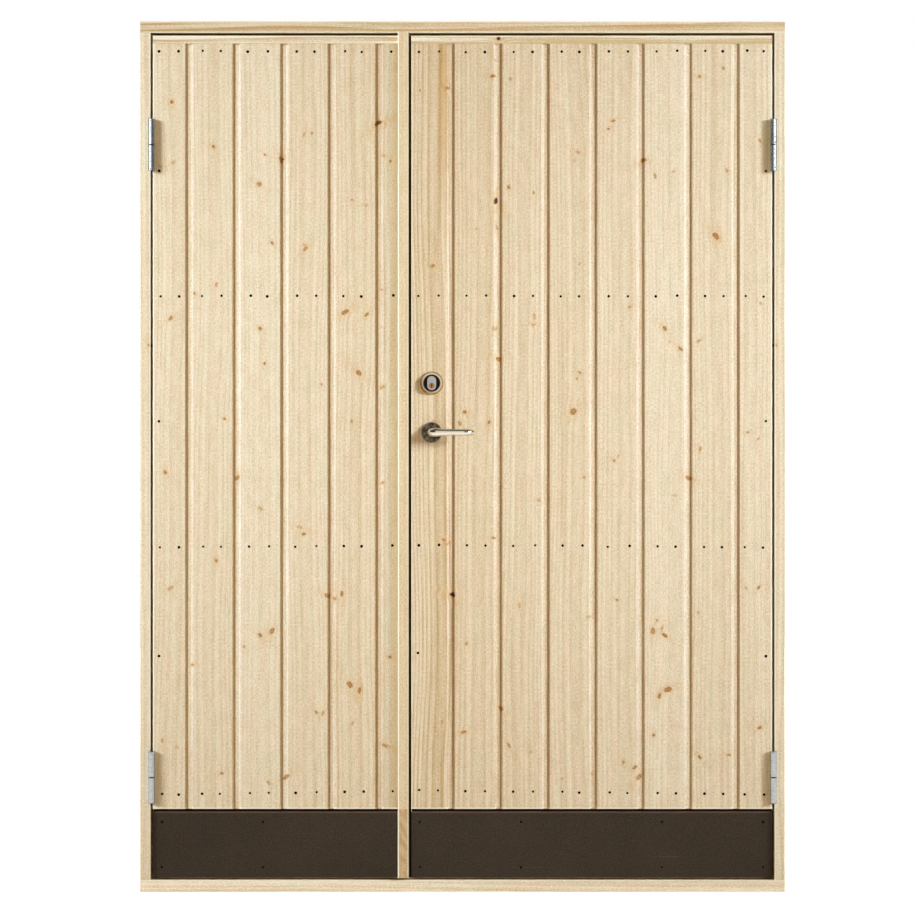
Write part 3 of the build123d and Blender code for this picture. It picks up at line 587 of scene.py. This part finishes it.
def nail_steel():
    """Dulled, nearly black nail heads."""
    finish = Finish("nail_steel", Specular_IOR_Level=0.0)
    dull = finish.noise(finish.place, 900.0, 3.0, 0.7)
    return finish.paint(
        Base_Color=finish.blend((0.004, 0.003, 0.002), (0.020, 0.016, 0.012), dull),
        Roughness=0.6 + dull * 0.2,
        Normal=finish.bump(dull, 0.3, 0.0002),
    )


def floor_paper():
    """Plain pale paper under the door: white to the camera, and it keeps the door's shadow."""
    finish = Finish("floor_paper", Specular_IOR_Level=0.0)
    cloud = finish.noise(finish.place, 0.8, 2.0)
    finish.paint(Base_Color=finish.blend((0.86, 0.86, 0.86), (0.90, 0.90, 0.90), cloud), Roughness=0.9)
    camera = finish.node("ShaderNodeLightPath", output="Is Camera Ray")
    glossy = finish.node("ShaderNodeLightPath", output="Is Glossy Ray")
    glow = finish.node(
        "ShaderNodeEmission", None, {"Color": WHITE, "Strength": (camera + glossy).least(1.0) * 0.76}
    )
    both = finish.node(
        "ShaderNodeAddShader", None, {0: Value(finish, finish.shader.outputs[0]), 1: glow}
    )
    output = finish.tree.nodes["Material Output"]
    finish.tree.links.new(both.output, output.inputs["Surface"])
    return finish.material


def finish_node(node, material):
    """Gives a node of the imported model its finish."""
    slots = frame["nodes"][node].data.materials
    slots.clear()
    slots.append(material)


def new_piece(name, mesh, material, body, slot, *nodes):
    """Places a finished mesh in the door: it moves with a body, and may stand for nodes."""
    mesh.materials.clear()
    mesh.materials.append(material)
    piece = bpy.data.objects.new(name, mesh)
    bpy.context.scene.collection.objects.link(piece)
    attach(piece, body)
    if nodes:
        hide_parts(*nodes)
    return piece


def as_mesh(name, shape):
    """Turns a shape that is being built into a mesh."""
    mesh = bpy.data.meshes.new(name)
    shape.to_mesh(mesh)
    shape.free()
    return mesh


def merged_copy(node):
    """A node's shape as one closed mesh with its flat faces joined."""
    shape = bmesh.new()
    shape.from_mesh(frame["nodes"][node].data)
    bmesh.ops.remove_doubles(shape, verts=shape.verts[:], dist=2e-6)
    bmesh.ops.dissolve_limit(
        shape, angle_limit=math.radians(0.4), verts=shape.verts[:], edges=shape.edges[:]
    )
    return shape


def pin_knots(low, high, chance):
    """A board's small knots, in whorls as the branches grew up the tree."""
    inset = 0.014
    knots = []
    height = low.z + chance.uniform(0.04, 0.24)
    while height < high.z - inset:
        for _ in range(chance.integers(1, 3)):
            across = chance.uniform(low.x + inset, high.x - inset)
            along = height + chance.uniform(-0.014, 0.014)
            knots.append((across / MM, along / MM, chance.uniform(2.2, 3.2), chance.uniform(0.35, 0.85)))
        height += chance.uniform(0.20, 0.42)
    return knots


def cut_into_cells(shape, low, high):
    """Cuts a board across its width and its height, so that each cell has its own nearest knots."""
    for axis, step in ((Vector((1, 0, 0)), 0.015), (Vector((0, 0, 1)), 0.030)):
        start, end = low.dot(axis), high.dot(axis)
        count = int((end - start) / step)
        for cut in range(1, count):
            bmesh.ops.bisect_plane(
                shape, geom=shape.verts[:] + shape.edges[:] + shape.faces[:], dist=1e-6,
                plane_co=axis * (start + (end - start) * cut / count), plane_no=axis,
            )


def read_all(items, name, width=1, kind=float):
    """One property of all of a mesh's vertices, corners or faces."""
    values = np.empty(len(items) * width, kind)
    items.foreach_get(name, values)
    return values.reshape(-1, width) if width > 1 else values


def mark_knots(mesh, points, knots, chance):
    """Stores, at each corner, where the two knots nearest to its cell lie, and how dark they are."""
    tilt = chance.uniform(-1.5, 1.5, len(knots))
    stretch = chance.uniform(1.0, 2.1, len(knots))
    corner_point = read_all(mesh.loops, "vertex_index", 1, int)
    face_size = read_all(mesh.polygons, "loop_total", 1, int)
    centres = read_all(mesh.polygons, "center", 3)
    gap_across = (centres[:, None, 0] - knots[None, :, 0]) / knots[None, :, 2]
    gap_along = (centres[:, None, 2] - knots[None, :, 1]) / knots[None, :, 2]
    order = np.argsort(gap_across ** 2 + (gap_along * 0.5) ** 2, axis=1)
    corners = points[corner_point]
    strengths = np.zeros((len(corner_point), 3))
    for place, name in enumerate(("knot_near", "knot_next")):
        pick = np.repeat(order[:, place], face_size)
        knot = knots[pick]
        across, along = corners[:, 0] - knot[:, 0], corners[:, 2] - knot[:, 1]
        cos, sin = np.cos(tilt[pick]), np.sin(tilt[pick])
        offset = np.stack(
            [across * cos + along * sin, (along * cos - across * sin) / stretch[pick], knot[:, 2]], axis=1
        )
        strengths[:, place] = knot[:, 3]
        store(mesh, name, "FLOAT_VECTOR", "CORNER", offset)
    store(mesh, "knot_strength", "FLOAT_VECTOR", "CORNER", strengths)


def board_mesh(node, knots, tone, streak, number):
    """A board with its own knots, tone, streakiness and number."""
    low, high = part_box(node)
    shape = merged_copy(node)
    cut_into_cells(shape, low, high)
    mesh = as_mesh(f"{node}_planed", shape)
    points = read_all(mesh.vertices, "co", 3)
    chance = np.random.default_rng(number)
    margin = 0.03
    own = [knot for knot in knots if low.x - margin < knot[0] * MM < high.x + margin]
    own = np.array(own + pin_knots(low, high, chance), float)
    own[:, :3] *= MM
    mark_knots(mesh, points, own, chance)
    shared = np.full((len(points), 3), (0.0, tone, streak))
    shared[:, 0] = points[:, 0] - (low.x + high.x) / 2
    store(mesh, "board", "FLOAT_VECTOR", "POINT", shared)
    store(mesh, "board_number", "FLOAT", "POINT", np.full(len(points), float(number)))
    return mesh


def store(mesh, name, kind, domain, values):
    """Keeps values on a mesh under a name that its finish reads."""
    layer = mesh.attributes.new(name, kind, domain)
    layer.data.foreach_set("vector" if kind == "FLOAT_VECTOR" else "value", values.astype(np.float32).ravel())


def smooth_copy(node, angle):
    """A node's shape with its curved faces shaded smooth and its edges kept."""
    mesh = as_mesh(f"{node}_smooth", merged_copy(node))
    mesh.shade_smooth()
    mesh.set_sharp_from_angle(angle=math.radians(angle))
    return mesh


def screw_head(radius, height):
    """A countersunk head facing up Z, with a cross recess."""
    shape = bmesh.new()
    arms, reach, half = 4, radius * 0.62, radius * 0.16
    outer = [
        shape.verts.new((radius * math.cos(t), radius * math.sin(t), 0.0))
        for t in (2 * math.pi * k / 16 for k in range(16))
    ]
    lip = [shape.verts.new((v.co.x * 0.88, v.co.y * 0.88, height)) for v in outer]
    cross, floor = [], []
    for arm in range(arms):
        turn = Matrix.Rotation(arm * math.pi / 2, 4, "Z")
        for corner in ((reach, -half), (reach, half), (half, half)):
            place = turn @ Vector((*corner, height))
            cross.append(shape.verts.new(place))
            floor.append(shape.verts.new(Vector((place.x * 0.8, place.y * 0.8, height * 0.3))))
    for k in range(16):
        shape.faces.new((outer[k], outer[(k + 1) % 16], lip[(k + 1) % 16], lip[k]))
    rim_edges = [shape.edges.get((lip[k], lip[(k + 1) % 16])) for k in range(16)]
    cross_edges = [shape.edges.new((cross[k], cross[(k + 1) % 12])) for k in range(12)]
    bmesh.ops.triangle_fill(shape, edges=rim_edges + cross_edges, use_beauty=True)
    for k in range(12):
        shape.faces.new((cross[k], cross[(k + 1) % 12], floor[(k + 1) % 12], floor[k]))
    shape.faces.new(floor)
    shape.faces.new(outer[::-1])
    bmesh.ops.recalc_face_normals(shape, faces=shape.faces[:])
    return as_mesh("screw_head", shape)


def interface(tree, name, kind, default=None):
    """Adds a named input to a Geometry Nodes tree."""
    socket = tree.interface.new_socket(name=name, in_out="INPUT", socket_type=kind)
    if default is not None:
        socket.default_value = default
    return socket.identifier


def tree_start(name):
    tree = bpy.data.node_groups.new(name, "GeometryNodeTree")
    tree.interface.new_socket(name="Geometry", in_out="INPUT", socket_type="NodeSocketGeometry")
    tree.interface.new_socket(name="Geometry", in_out="OUTPUT", socket_type="NodeSocketGeometry")
    return tree


def tree_node(tree, kind, settings=None, inputs=None):
    made = tree.nodes.new(kind)
    for name, value in (settings or {}).items():
        setattr(made, name, value)
    for name, value in (inputs or {}).items():
        if isinstance(value, bpy.types.NodeSocket):
            tree.links.new(value, made.inputs[name])
        else:
            made.inputs[name].default_value = value
    return made


def nail_tree():
    """Low round nail heads on points of the boards, each set a little askew."""
    tree = tree_start("nail_heads")
    keys = {
        "radius": interface(tree, "Head Radius", "NodeSocketFloat", 0.002),
        "height": interface(tree, "Head Height", "NodeSocketFloat", 0.0008),
        "tilt": interface(tree, "Tilt", "NodeSocketFloat", 0.1),
        "seed": interface(tree, "Seed", "NodeSocketInt", 1),
        "finish": interface(tree, "Finish", "NodeSocketMaterial"),
    }
    given = tree.nodes.new("NodeGroupInput").outputs
    top = tree_node(tree, "ShaderNodeMath", {"operation": "MULTIPLY"}, {0: given["Head Radius"], 1: 0.62})
    head = tree_node(
        tree, "GeometryNodeMeshCone", None,
        {"Vertices": 12, "Radius Bottom": given["Head Radius"], "Radius Top": top.outputs[0],
         "Depth": given["Head Height"]},
    )
    faced = tree_node(
        tree, "GeometryNodeTransform", None,
        {"Geometry": head.outputs["Mesh"], "Rotation": (math.pi / 2, 0.0, 0.0)},
    )
    low = tree_node(tree, "ShaderNodeMath", {"operation": "MULTIPLY"}, {0: given["Tilt"], 1: -1.0})
    askew = tree_node(
        tree, "FunctionNodeRandomValue", {"data_type": "FLOAT_VECTOR"},
        {0: low.outputs[0], 1: given["Tilt"], "Seed": given["Seed"]},
    )
    sizes = tree_node(
        tree, "FunctionNodeRandomValue", {"data_type": "FLOAT"}, {2: 0.88, 3: 1.14, "Seed": given["Seed"]}
    )
    placed = tree_node(
        tree, "GeometryNodeInstanceOnPoints", None,
        {"Points": given["Geometry"], "Instance": faced.outputs["Geometry"],
         "Rotation": askew.outputs[0], "Scale": sizes.outputs[1]},
    )
    return tree, keys, placed, given


def screw_tree(head):
    """Screw heads on points, turned to each point's facing with a slot angle of its own."""
    tree = tree_start("screw_heads")
    keys = {
        "turn": interface(tree, "Turn", "NodeSocketVector", (0.0, 0.0, 0.0)),
        "seed": interface(tree, "Seed", "NodeSocketInt", 1),
        "finish": interface(tree, "Finish", "NodeSocketMaterial"),
    }
    given = tree.nodes.new("NodeGroupInput").outputs
    source = tree_node(tree, "GeometryNodeObjectInfo", None, {"Object": head})
    spin = tree_node(
        tree, "FunctionNodeRandomValue", {"data_type": "FLOAT_VECTOR"},
        {0: (0.0, 0.0, 0.0), 1: (0.0, 0.0, math.pi), "Seed": given["Seed"]},
    )
    placed = tree_node(
        tree, "GeometryNodeInstanceOnPoints", None,
        {"Points": given["Geometry"], "Instance": source.outputs["Geometry"], "Rotation": given["Turn"]},
    )
    turned = tree_node(
        tree, "GeometryNodeRotateInstances", None,
        {"Instances": placed.outputs["Instances"], "Rotation": spin.outputs[0], "Local Space": True},
    )
    return tree, keys, turned, given


def tree_end(tree, instances, given):
    """Every tree ends in plain faces with their finish."""
    plain = tree_node(
        tree, "GeometryNodeRealizeInstances", None, {"Geometry": instances.outputs["Instances"]}
    )
    finished = tree_node(
        tree, "GeometryNodeSetMaterial", None,
        {"Geometry": plain.outputs["Geometry"], "Material": given["Finish"]},
    )
    tree.links.new(finished.outputs["Geometry"], tree.nodes.new("NodeGroupOutput").inputs["Geometry"])


def grown_mesh(name, points, tree, values):
    """The plain mesh that a tree grows on points."""
    seedbed = bpy.data.meshes.new(f"{name}_points")
    seedbed.from_pydata([tuple(p) for p in points], [], [])
    carrier = bpy.data.objects.new(f"{name}_carrier", seedbed)
    bpy.context.scene.collection.objects.link(carrier)
    grower = carrier.modifiers.new(name, "NODES")
    grower.node_group = tree
    for identifier, value in values.items():
        grower[identifier] = value
    settled = carrier.evaluated_get(bpy.context.evaluated_depsgraph_get())
    mesh = bpy.data.meshes.new_from_object(settled)
    carrier.modifiers.remove(grower)
    bpy.data.objects.remove(carrier)
    bpy.data.meshes.remove(seedbed)
    mesh.name = name
    return mesh


def joined(name, meshes):
    """Several meshes as one."""
    shape = bmesh.new()
    for mesh in meshes:
        shape.from_mesh(mesh)
    whole = as_mesh(name, shape)
    for mesh in meshes:
        bpy.data.meshes.remove(mesh)
    return whole


def lathe(name, centre, profile, sides=64):
    """A turned piece about an axis along Y: the profile gives radius and y, and closes on itself."""
    shape = bmesh.new()
    rings = []
    for radius, y in profile:
        rings.append([
            shape.verts.new((centre[0] + radius * math.cos(t), y, centre[1] + radius * math.sin(t)))
            for t in (2 * math.pi * k / sides for k in range(sides))
        ])
    for first, second in zip(rings, rings[1:] + rings[:1]):
        for k in range(sides):
            shape.faces.new((first[k], first[(k + 1) % sides], second[(k + 1) % sides], second[k]))
    bmesh.ops.recalc_face_normals(shape, faces=shape.faces[:])
    mesh = as_mesh(name, shape)
    mesh.shade_smooth()
    mesh.set_sharp_from_angle(angle=math.radians(35))
    return mesh


def soft_block(low, high, bevel):
    """A block with rounded edges."""
    shape = bmesh.new()
    bmesh.ops.create_cube(shape, size=1.0)
    low, high = Vector(low), Vector(high)
    for vert in shape.verts:
        vert.co = Vector(low[i] + (vert.co[i] + 0.5) * (high[i] - low[i]) for i in range(3))
    bmesh.ops.bevel(shape, geom=shape.edges[:], offset=bevel, segments=3, profile=0.5, affect="EDGES")
    return as_mesh("soft_block", shape)


def dress_boards():
    """Every board gets its own cut of pine."""
    material = boarding_pine()
    for leaf, hand, own, tones in (
        ("left", -1, LEFT_KNOTS, LEFT_BOARD_TONES), ("right", 1, RIGHT_KNOTS, RIGHT_BOARD_TONES),
    ):
        knots = [(hand * x, *rest) for x, *rest in MIRRORED_KNOTS] + list(own)
        for number, (tone, streak) in enumerate(tones, start=1):
            node = f"{leaf}_board_{number}"
            key = number if leaf == "left" else number + 20
            mesh = board_mesh(node, knots, tone, streak, key)
            new_piece(f"{node}_planed", mesh, material, f"{leaf}_leaf", "pine_boards", node)


def dress_member(
    node, upright, seed, dark=DARK_PINE, pale=PALE_PINE, tone=0.6, streak=0.6, knots=(), edges=(), recolour=None
):
    """Gives one member of the frame or the leaf framing its pine, with the grain along the member."""
    low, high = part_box(node)
    centre = (low + high) / 2
    across, along = ("x", "z") if upright else ("z", "x")
    finish_node(node, pine(
        f"pine_{node}", dark, pale, tone, side(across, getattr(centre, across)), side("y", low.y),
        side(along), constant(seed), streak, knots, [(across, edge, low.y) for edge in edges], recolour,
    ))


def dress_members():
    """Frame, strips, post and leaf framing, each from its own tree."""
    head_dark, head_pale = (0.68, 0.52, 0.31), (0.79, 0.65, 0.44)
    post_dark, post_pale = (0.72, 0.56, 0.33), (0.80, 0.66, 0.44)
    sill_pale = (0.90, 0.775, 0.57)
    head_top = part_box("head")[1].z
    strip_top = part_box("left_top_strip")[1].z
    dress_member("head", False, 51, head_dark, head_pale, 0.6, 1.5, edges=(HEAD_UNDERSIDE_Z, head_top))
    dress_member("sill", False, 52, PALE_PINE, sill_pale, 1.0, edges=(SILL_FACE_Z,))
    for leaf, hand, seed in (("left", -1, 53), ("right", 1, 54)):
        knot = fixed_knot("x", hand * 0.711, "z", 1.243, 0.0035)
        dress_member(
            f"{leaf}_jamb", True, seed, tone=0.95, knots=(knot,), edges=(hand * JAMB_INNER_X,))
    dress_member("left_top_strip", False, 55, DARK_PINE, STRIP_PINE, 0.65, 2.4, edges=(strip_top,))
    knot = fixed_knot("z", 1.940, "x", 0.082, 0.004, 1.5)
    dress_member("right_top_strip", False, 56, DARK_PINE, STRIP_PINE, 1.0, 3.4, (knot,), (strip_top,))
    dress_member(
        "meeting_post", True, 57, post_dark, post_pale, edges=(POST_LEFT_X, POST_RIGHT_X), recolour=darker_foot)
    seed = 60
    for leaf in ("left", "right"):
        for part, upright in (("hinge_stile", True), ("meeting_stile", True), ("rails", False)):
            dress_member(f"{leaf}_{part}", upright, seed, tone=0.5)
            seed += 1


def dress_plates():
    material = film_faced_plywood()
    for node in ("left_kick_plate", "right_kick_plate"):
        finish_node(node, material)


def dress_node(node, ending, material, body, slot, angle=32.0):
    """Replaces a metal node by a smooth finished copy."""
    new_piece(f"{node}_{ending}", smooth_copy(node, angle), material, body, slot, node)


def dress_metal():
    """Hinges, lock, levers and seals."""
    steel = galvanised_steel()
    for leaf in ("left", "right"):
        for part, body in (("frame_hinges", "frame"), ("leaf_hinges", f"{leaf}_leaf")):
            node = f"{leaf}_{part}"
            dress_node(node, "plated", steel, body, "galvanised_steel")
    nickel = nickel_finish("satin_nickel", (0.56, 0.51, 0.42), (0.78, 0.73, 0.64), 0.17)
    for node in ("outer_lever", "inner_lever"):
        dress_node(node, "brushed", nickel, "lever", "satin_nickel", 40.0)
    dark = rose_finish()
    for node in ("outer_rose", "inner_rose"):
        dress_node(node, "turned", dark, "right_leaf", "dark_nickel")
    fine = 12.0
    dress_node("cylinder_ring", "turned", ring_finish(), "right_leaf", "satin_nickel", fine)
    dress_node("lock_cylinder", "plated", cylinder_finish(), "right_leaf", "satin_nickel", fine)
    dress_node("thumb_turn", "turned", nickel, "right_leaf", "satin_nickel")
    lock = nickel_finish("lock_steel", (0.42, 0.42, 0.41), (0.62, 0.62, 0.60), 0.38)
    for node in ("lock_case", "strike_plate", "spindle"):
        finish_node(node, lock)
    rubber = seal_rubber()
    for node in ("rebate_seal", "meeting_seal"):
        finish_node(node, rubber)
    return lock, steel


def nail_columns(leaf, hand, boards):
    """Two nails in each board, across the leaf, from the hinge edge to the meeting edge."""
    spans = [sorted(hand * corner.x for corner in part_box(f"{leaf}_board_{n + 1}")) for n in range(boards)]
    cover = spans[0][0] - spans[1][0]
    middles = [sum(spans[0]) / 2] + [outer[0] - cover / 2 for outer in spans[:-1]]
    columns = [middle + offset for middle in middles for offset in (NAIL_SPREAD, -NAIL_SPREAD)]
    return [hand * column for column in columns if column > spans[-1][0]]


def drive_nails():
    """Nail heads in the boards and plates, one mesh for each leaf."""
    tree, keys, placed, given = nail_tree()
    tree_end(tree, placed, given)
    material = nail_steel()
    for leaf, hand, seed, tones in (("left", -1, 3, LEFT_BOARD_TONES), ("right", 1, 8, RIGHT_BOARD_TONES)):
        chance = np.random.default_rng(seed)
        places = [(hand * (LEAF_EDGE_X - EDGE_NAIL_INSET), height) for height in EDGE_NAIL_HEIGHTS]
        across = [hand * (LEAF_EDGE_X - inset) for inset in PLATE_NAIL_INSETS]
        if leaf == "right":
            places.append(MEETING_NAIL)
            across += [RIGHT_LEAF_X + inset for inset in PLATE_NAIL_INSETS]
        for height, rise in NAIL_ROWS:
            for column in nail_columns(leaf, hand, len(tones)):
                wander = chance.uniform(-NAIL_WANDER, NAIL_WANDER)
                places.append((column + wander, height + rise * (LEAF_EDGE_X - hand * column) + wander * 0.3))
        points = [(x, BOARD_FACE_Y + NAIL_SINK, z) for x, z in places]
        points += [(x, PLATE_FACE_Y + NAIL_SINK, z) for z in PLATE_NAIL_HEIGHTS for x in across]
        values = {
            keys["radius"]: NAIL_RADIUS, keys["height"]: NAIL_HEIGHT, keys["tilt"]: NAIL_TILT,
            keys["seed"]: seed, keys["finish"]: material,
        }
        mesh = grown_mesh(f"{leaf}_nails", points, tree, values)
        new_piece(f"{leaf}_nails", mesh, material, f"{leaf}_leaf", "galvanised_steel")


def drive_screws(steel, lock):
    """Screws in the hinge flags, the lock's forend and the strike plate, one mesh for each body."""
    head = bpy.data.objects.new("screw_head_source", screw_head(0.0034, 0.0007))
    bpy.context.scene.collection.objects.link(head)
    tree, keys, placed, given = screw_tree(head)
    tree_end(tree, placed, given)

    def screws(name, points, turn, seed, material):
        values = {keys["turn"]: turn, keys["seed"]: seed, keys["finish"]: material}
        return grown_mesh(name, points, tree, values)

    facing = {1: (0.0, math.pi / 2, 0.0), -1: (0.0, -math.pi / 2, 0.0)}
    frame_meshes = []
    leaf_meshes = {"left": [], "right": []}
    for leaf, hand, seed in (("left", -1, 4), ("right", 1, 5)):
        below = [z - d for z in HINGE_HEIGHTS for d in HINGE_SCREW_OFFSETS]
        above = [z + d for z in HINGE_HEIGHTS for d in HINGE_SCREW_OFFSETS]
        low = [(hand * JAMB_INNER_X, HINGE_SCREW_Y, z) for z in below]
        up = [(hand * LEAF_EDGE_X, HINGE_SCREW_Y, z) for z in above]
        frame_meshes.append(screws(f"{leaf}_jamb_screws", low, facing[-hand], seed, steel))
        leaf_meshes[leaf].append(screws(f"{leaf}_edge_screws", up, facing[hand], seed + 2, steel))
    forend = [(FOREND_X, FOREND_Y, LOCK_MIDDLE_Z + side * FOREND_SCREW_REACH) for side in (-1, 1)]
    strike = [(STRIKE_X, FOREND_Y, LOCK_MIDDLE_Z + side * STRIKE_SCREW_REACH) for side in (-1, 1)]
    leaf_meshes["right"].append(screws("forend_screws", forend, facing[-1], 11, lock))
    leaf_meshes["left"].append(screws("strike_screws", strike, facing[1], 12, lock))
    bpy.data.objects.remove(head)
    new_piece("frame_screws", joined("frame_screws", frame_meshes), steel, "frame", "galvanised_steel")
    for leaf in ("left", "right"):
        new_piece(f"{leaf}_leaf_screws", joined(f"{leaf}_leaf_screws", leaf_meshes[leaf]), steel,
                  f"{leaf}_leaf", "galvanised_steel")


def fit_lock_details(lock):
    """A black cup in the cylinder ring's mouth that stands in for the shade there, and the latch and bolt in
    the forend.
    """
    back, front = BOARD_FACE_Y - 0.0016, BOARD_FACE_Y - 0.0026
    cup = lathe("cylinder_cup", (LOCK_X, CYLINDER_Z), [
        (0.0168, back), (0.0180, back), (0.0186, front), (0.0166, front),
        (0.0104, BOARD_FACE_Y - 0.0022), (0.0104, back),
    ])
    new_piece("cylinder_cup", cup, bpy.data.materials["seal_rubber"], "right_leaf", "seal_rubber")
    blocks = [
        soft_block(
            (FOREND_X - 0.0012, FOREND_Y - 0.0045, height - length / 2),
            (FOREND_X + 0.0020, FOREND_Y + 0.0045, height + length / 2), 0.0008,
        )
        for height, length in ((LATCH_Z, LATCH_LENGTH), (BOLT_Z, BOLT_LENGTH))
    ]
    new_piece("latch_and_bolt", joined("latch_and_bolt", blocks), lock, "right_leaf", "lock_steel")


def fit_shade_strips():
    """A black rubber strip behind the gap over each kick plate, a dark sheet that paints the shade in the
    gap.
    """
    rubber = bpy.data.materials["seal_rubber"]
    for leaf in ("left", "right"):
        plate_low, plate_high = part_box(f"{leaf}_kick_plate")
        board_low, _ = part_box(f"{leaf}_board_1")
        mesh = soft_block(
            (plate_low.x + 0.0005, plate_high.y - 0.0022, plate_high.z + 0.0003),
            (plate_high.x - 0.0005, plate_high.y - 0.0002, board_low.z - 0.0003), 0.0006,
        )
        new_piece(f"{leaf}_drip_strip", mesh, rubber, f"{leaf}_leaf", "seal_rubber")


def lay_floor():
    half, drop = 14.0, 0.0004
    mesh = bpy.data.meshes.new("floor")
    mesh.from_pydata(
        [(x * half, y * half, -drop) for x, y in ((-1, -1), (1, -1), (1, 1), (-1, 1))], [], [(0, 1, 2, 3)]
    )
    floor = bpy.data.objects.new("floor", mesh)
    mesh.materials.append(floor_paper())
    bpy.context.scene.collection.objects.link(floor)
    return floor


def hang_lamp(name, data, place, target, receivers, mirrored=False):
    """Puts a lamp in the room; with receivers, it lights only those pieces. Metal may mirror it."""
    lamp = bpy.data.objects.new(name, data)
    lamp.location = place
    lamp.rotation_euler = (Vector(target) - Vector(place)).to_track_quat("-Z", "Y").to_euler()
    lamp.visible_camera = False
    lamp.visible_glossy = mirrored
    bpy.context.scene.collection.objects.link(lamp)
    if receivers is not None:
        lit = bpy.data.collections.new(f"{name}_lit")
        for piece in receivers:
            lit.objects.link(piece)
        lamp.light_linking.receiver_collection = lit


def softbox(name, place, target, size, level, colour, receivers=None):
    """A square soft lamp, set so that its light at the target has the given level."""
    data = bpy.data.lights.new(name, "AREA")
    data.shape = "SQUARE"
    data.size = size
    data.color = colour
    towards = Vector(target) - Vector(place)
    facing = max(abs(towards.normalized().y), abs(towards.normalized().z))
    data.energy = level * math.pi ** 2 * towards.length_squared / facing
    hang_lamp(name, data, place, target, receivers)


def grid_softbox(name, hand, target, level, colour, receivers):
    """A wide soft lamp with a grid, which lights a leaf evenly across and less towards its ends."""
    distance, width, height = 9.0, 6.0, 2.6
    towards = Vector((hand * KEY_TOWARDS[0], *KEY_TOWARDS[1:])).normalized()
    data = bpy.data.lights.new(name, "AREA")
    data.shape = "RECTANGLE"
    data.size = width
    data.size_y = height
    data.spread = math.radians(25)
    data.color = colour
    data.energy = level * math.pi * width * height / abs(towards.y)
    hang_lamp(name, data, Vector(target) + towards * distance, target, receivers, True)


def floor_sun(floor):
    """A soft sun for the floor alone, which keeps it white round the door's shadow."""
    data = bpy.data.lights.new("floor_sun", "SUN")
    data.angle = math.radians(30)
    towards = Vector((0.0, -0.5, 1.0)).normalized()
    data.energy = FLOOR_LEVEL * math.pi / towards.z
    hang_lamp("floor_sun", data, towards * 9.0, (0.0, 0.0, 0.0), [floor])


def light_door(floor):
    """A cool lamp for each leaf, a sun for the floor, three small lamps, and a warm room in the shadows."""
    shown = [o for o in bpy.data.objects if o.type == "MESH" and not o.hide_render and o != floor]
    left = [o for o in shown if o["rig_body"] == "left_leaf" or o.name.startswith("left_")]
    right = [o for o in shown if o not in left]
    middle = (0.0, BOARD_FACE_Y, LAMP_TARGET_Z)
    grid_softbox("left_lamp", -1, middle, KEY_LEVEL, KEY_COLOUR, left)
    grid_softbox("right_lamp", 1, middle, KEY_LEVEL, KEY_COLOUR, right)
    floor_sun(floor)
    softbox("front_lamp", (0.0, -2.2, 1.3), (0.0, BOARD_FACE_Y, 1.3), 1.4, FRONT_LEVEL, WHITE, shown)
    softbox("back_lamp", (0.8, 4.0, 2.4), (0.0, 0.0, 1.0), 2.4, BACK_LEVEL, WHITE, shown)
    softbox("top_lamp", (0.0, 0.5, 5.0), (0.0, 0.0, 1.98), 1.6, TOP_LEVEL, WHITE, shown)
    world = bpy.data.worlds.new("white_room")
    bpy.context.scene.world = world
    world.use_nodes = True
    room = Nodes(world.node_tree)
    seen = room.node("ShaderNodeLightPath", output="Is Camera Ray").most(
        room.node("ShaderNodeLightPath", output="Is Transmission Ray"))
    glossy = room.node("ShaderNodeLightPath", output="Is Glossy Ray")
    across, _, up = room.split(room.node("ShaderNodeTexCoord", output="Generated"))
    wall = across.size().rise(0.30, 0.10) * up.size().rise(0.85, 0.55)
    mirrored = glossy * (wall * (1 - MIRRORED_SIDES) + MIRRORED_SIDES)
    white = seen.most(glossy)
    background = world.node_tree.nodes["Background"]
    room.feed(background.inputs["Color"], room.blend(ROOM_COLOUR, WHITE, white))
    room.feed(background.inputs["Strength"], (1 - white) * ROOM_LEVEL + seen.most(mirrored))


def set_camera():
    """A long lens straight in front, at the middle of the door's height."""
    distance = 11.0
    view_width = 2.0782
    data = bpy.data.cameras.new("camera")
    data.sensor_width = 36.0
    data.lens = 36.0 * distance / view_width
    camera = bpy.data.objects.new("camera", data)
    camera.location = (CAMERA_X, BOARD_FACE_Y - distance, CAMERA_Z)
    camera.rotation_euler = (math.pi / 2, 0.0, 0.0)
    bpy.context.scene.collection.objects.link(camera)
    bpy.context.scene.camera = camera
    bpy.context.scene.view_settings.view_transform = "Standard"


dress_boards()
dress_members()
dress_plates()
lock_finish, hinge_finish = dress_metal()
drive_nails()
drive_screws(hinge_finish, lock_finish)
fit_lock_details(lock_finish)
fit_shade_strips()
light_door(lay_floor())
set_camera()
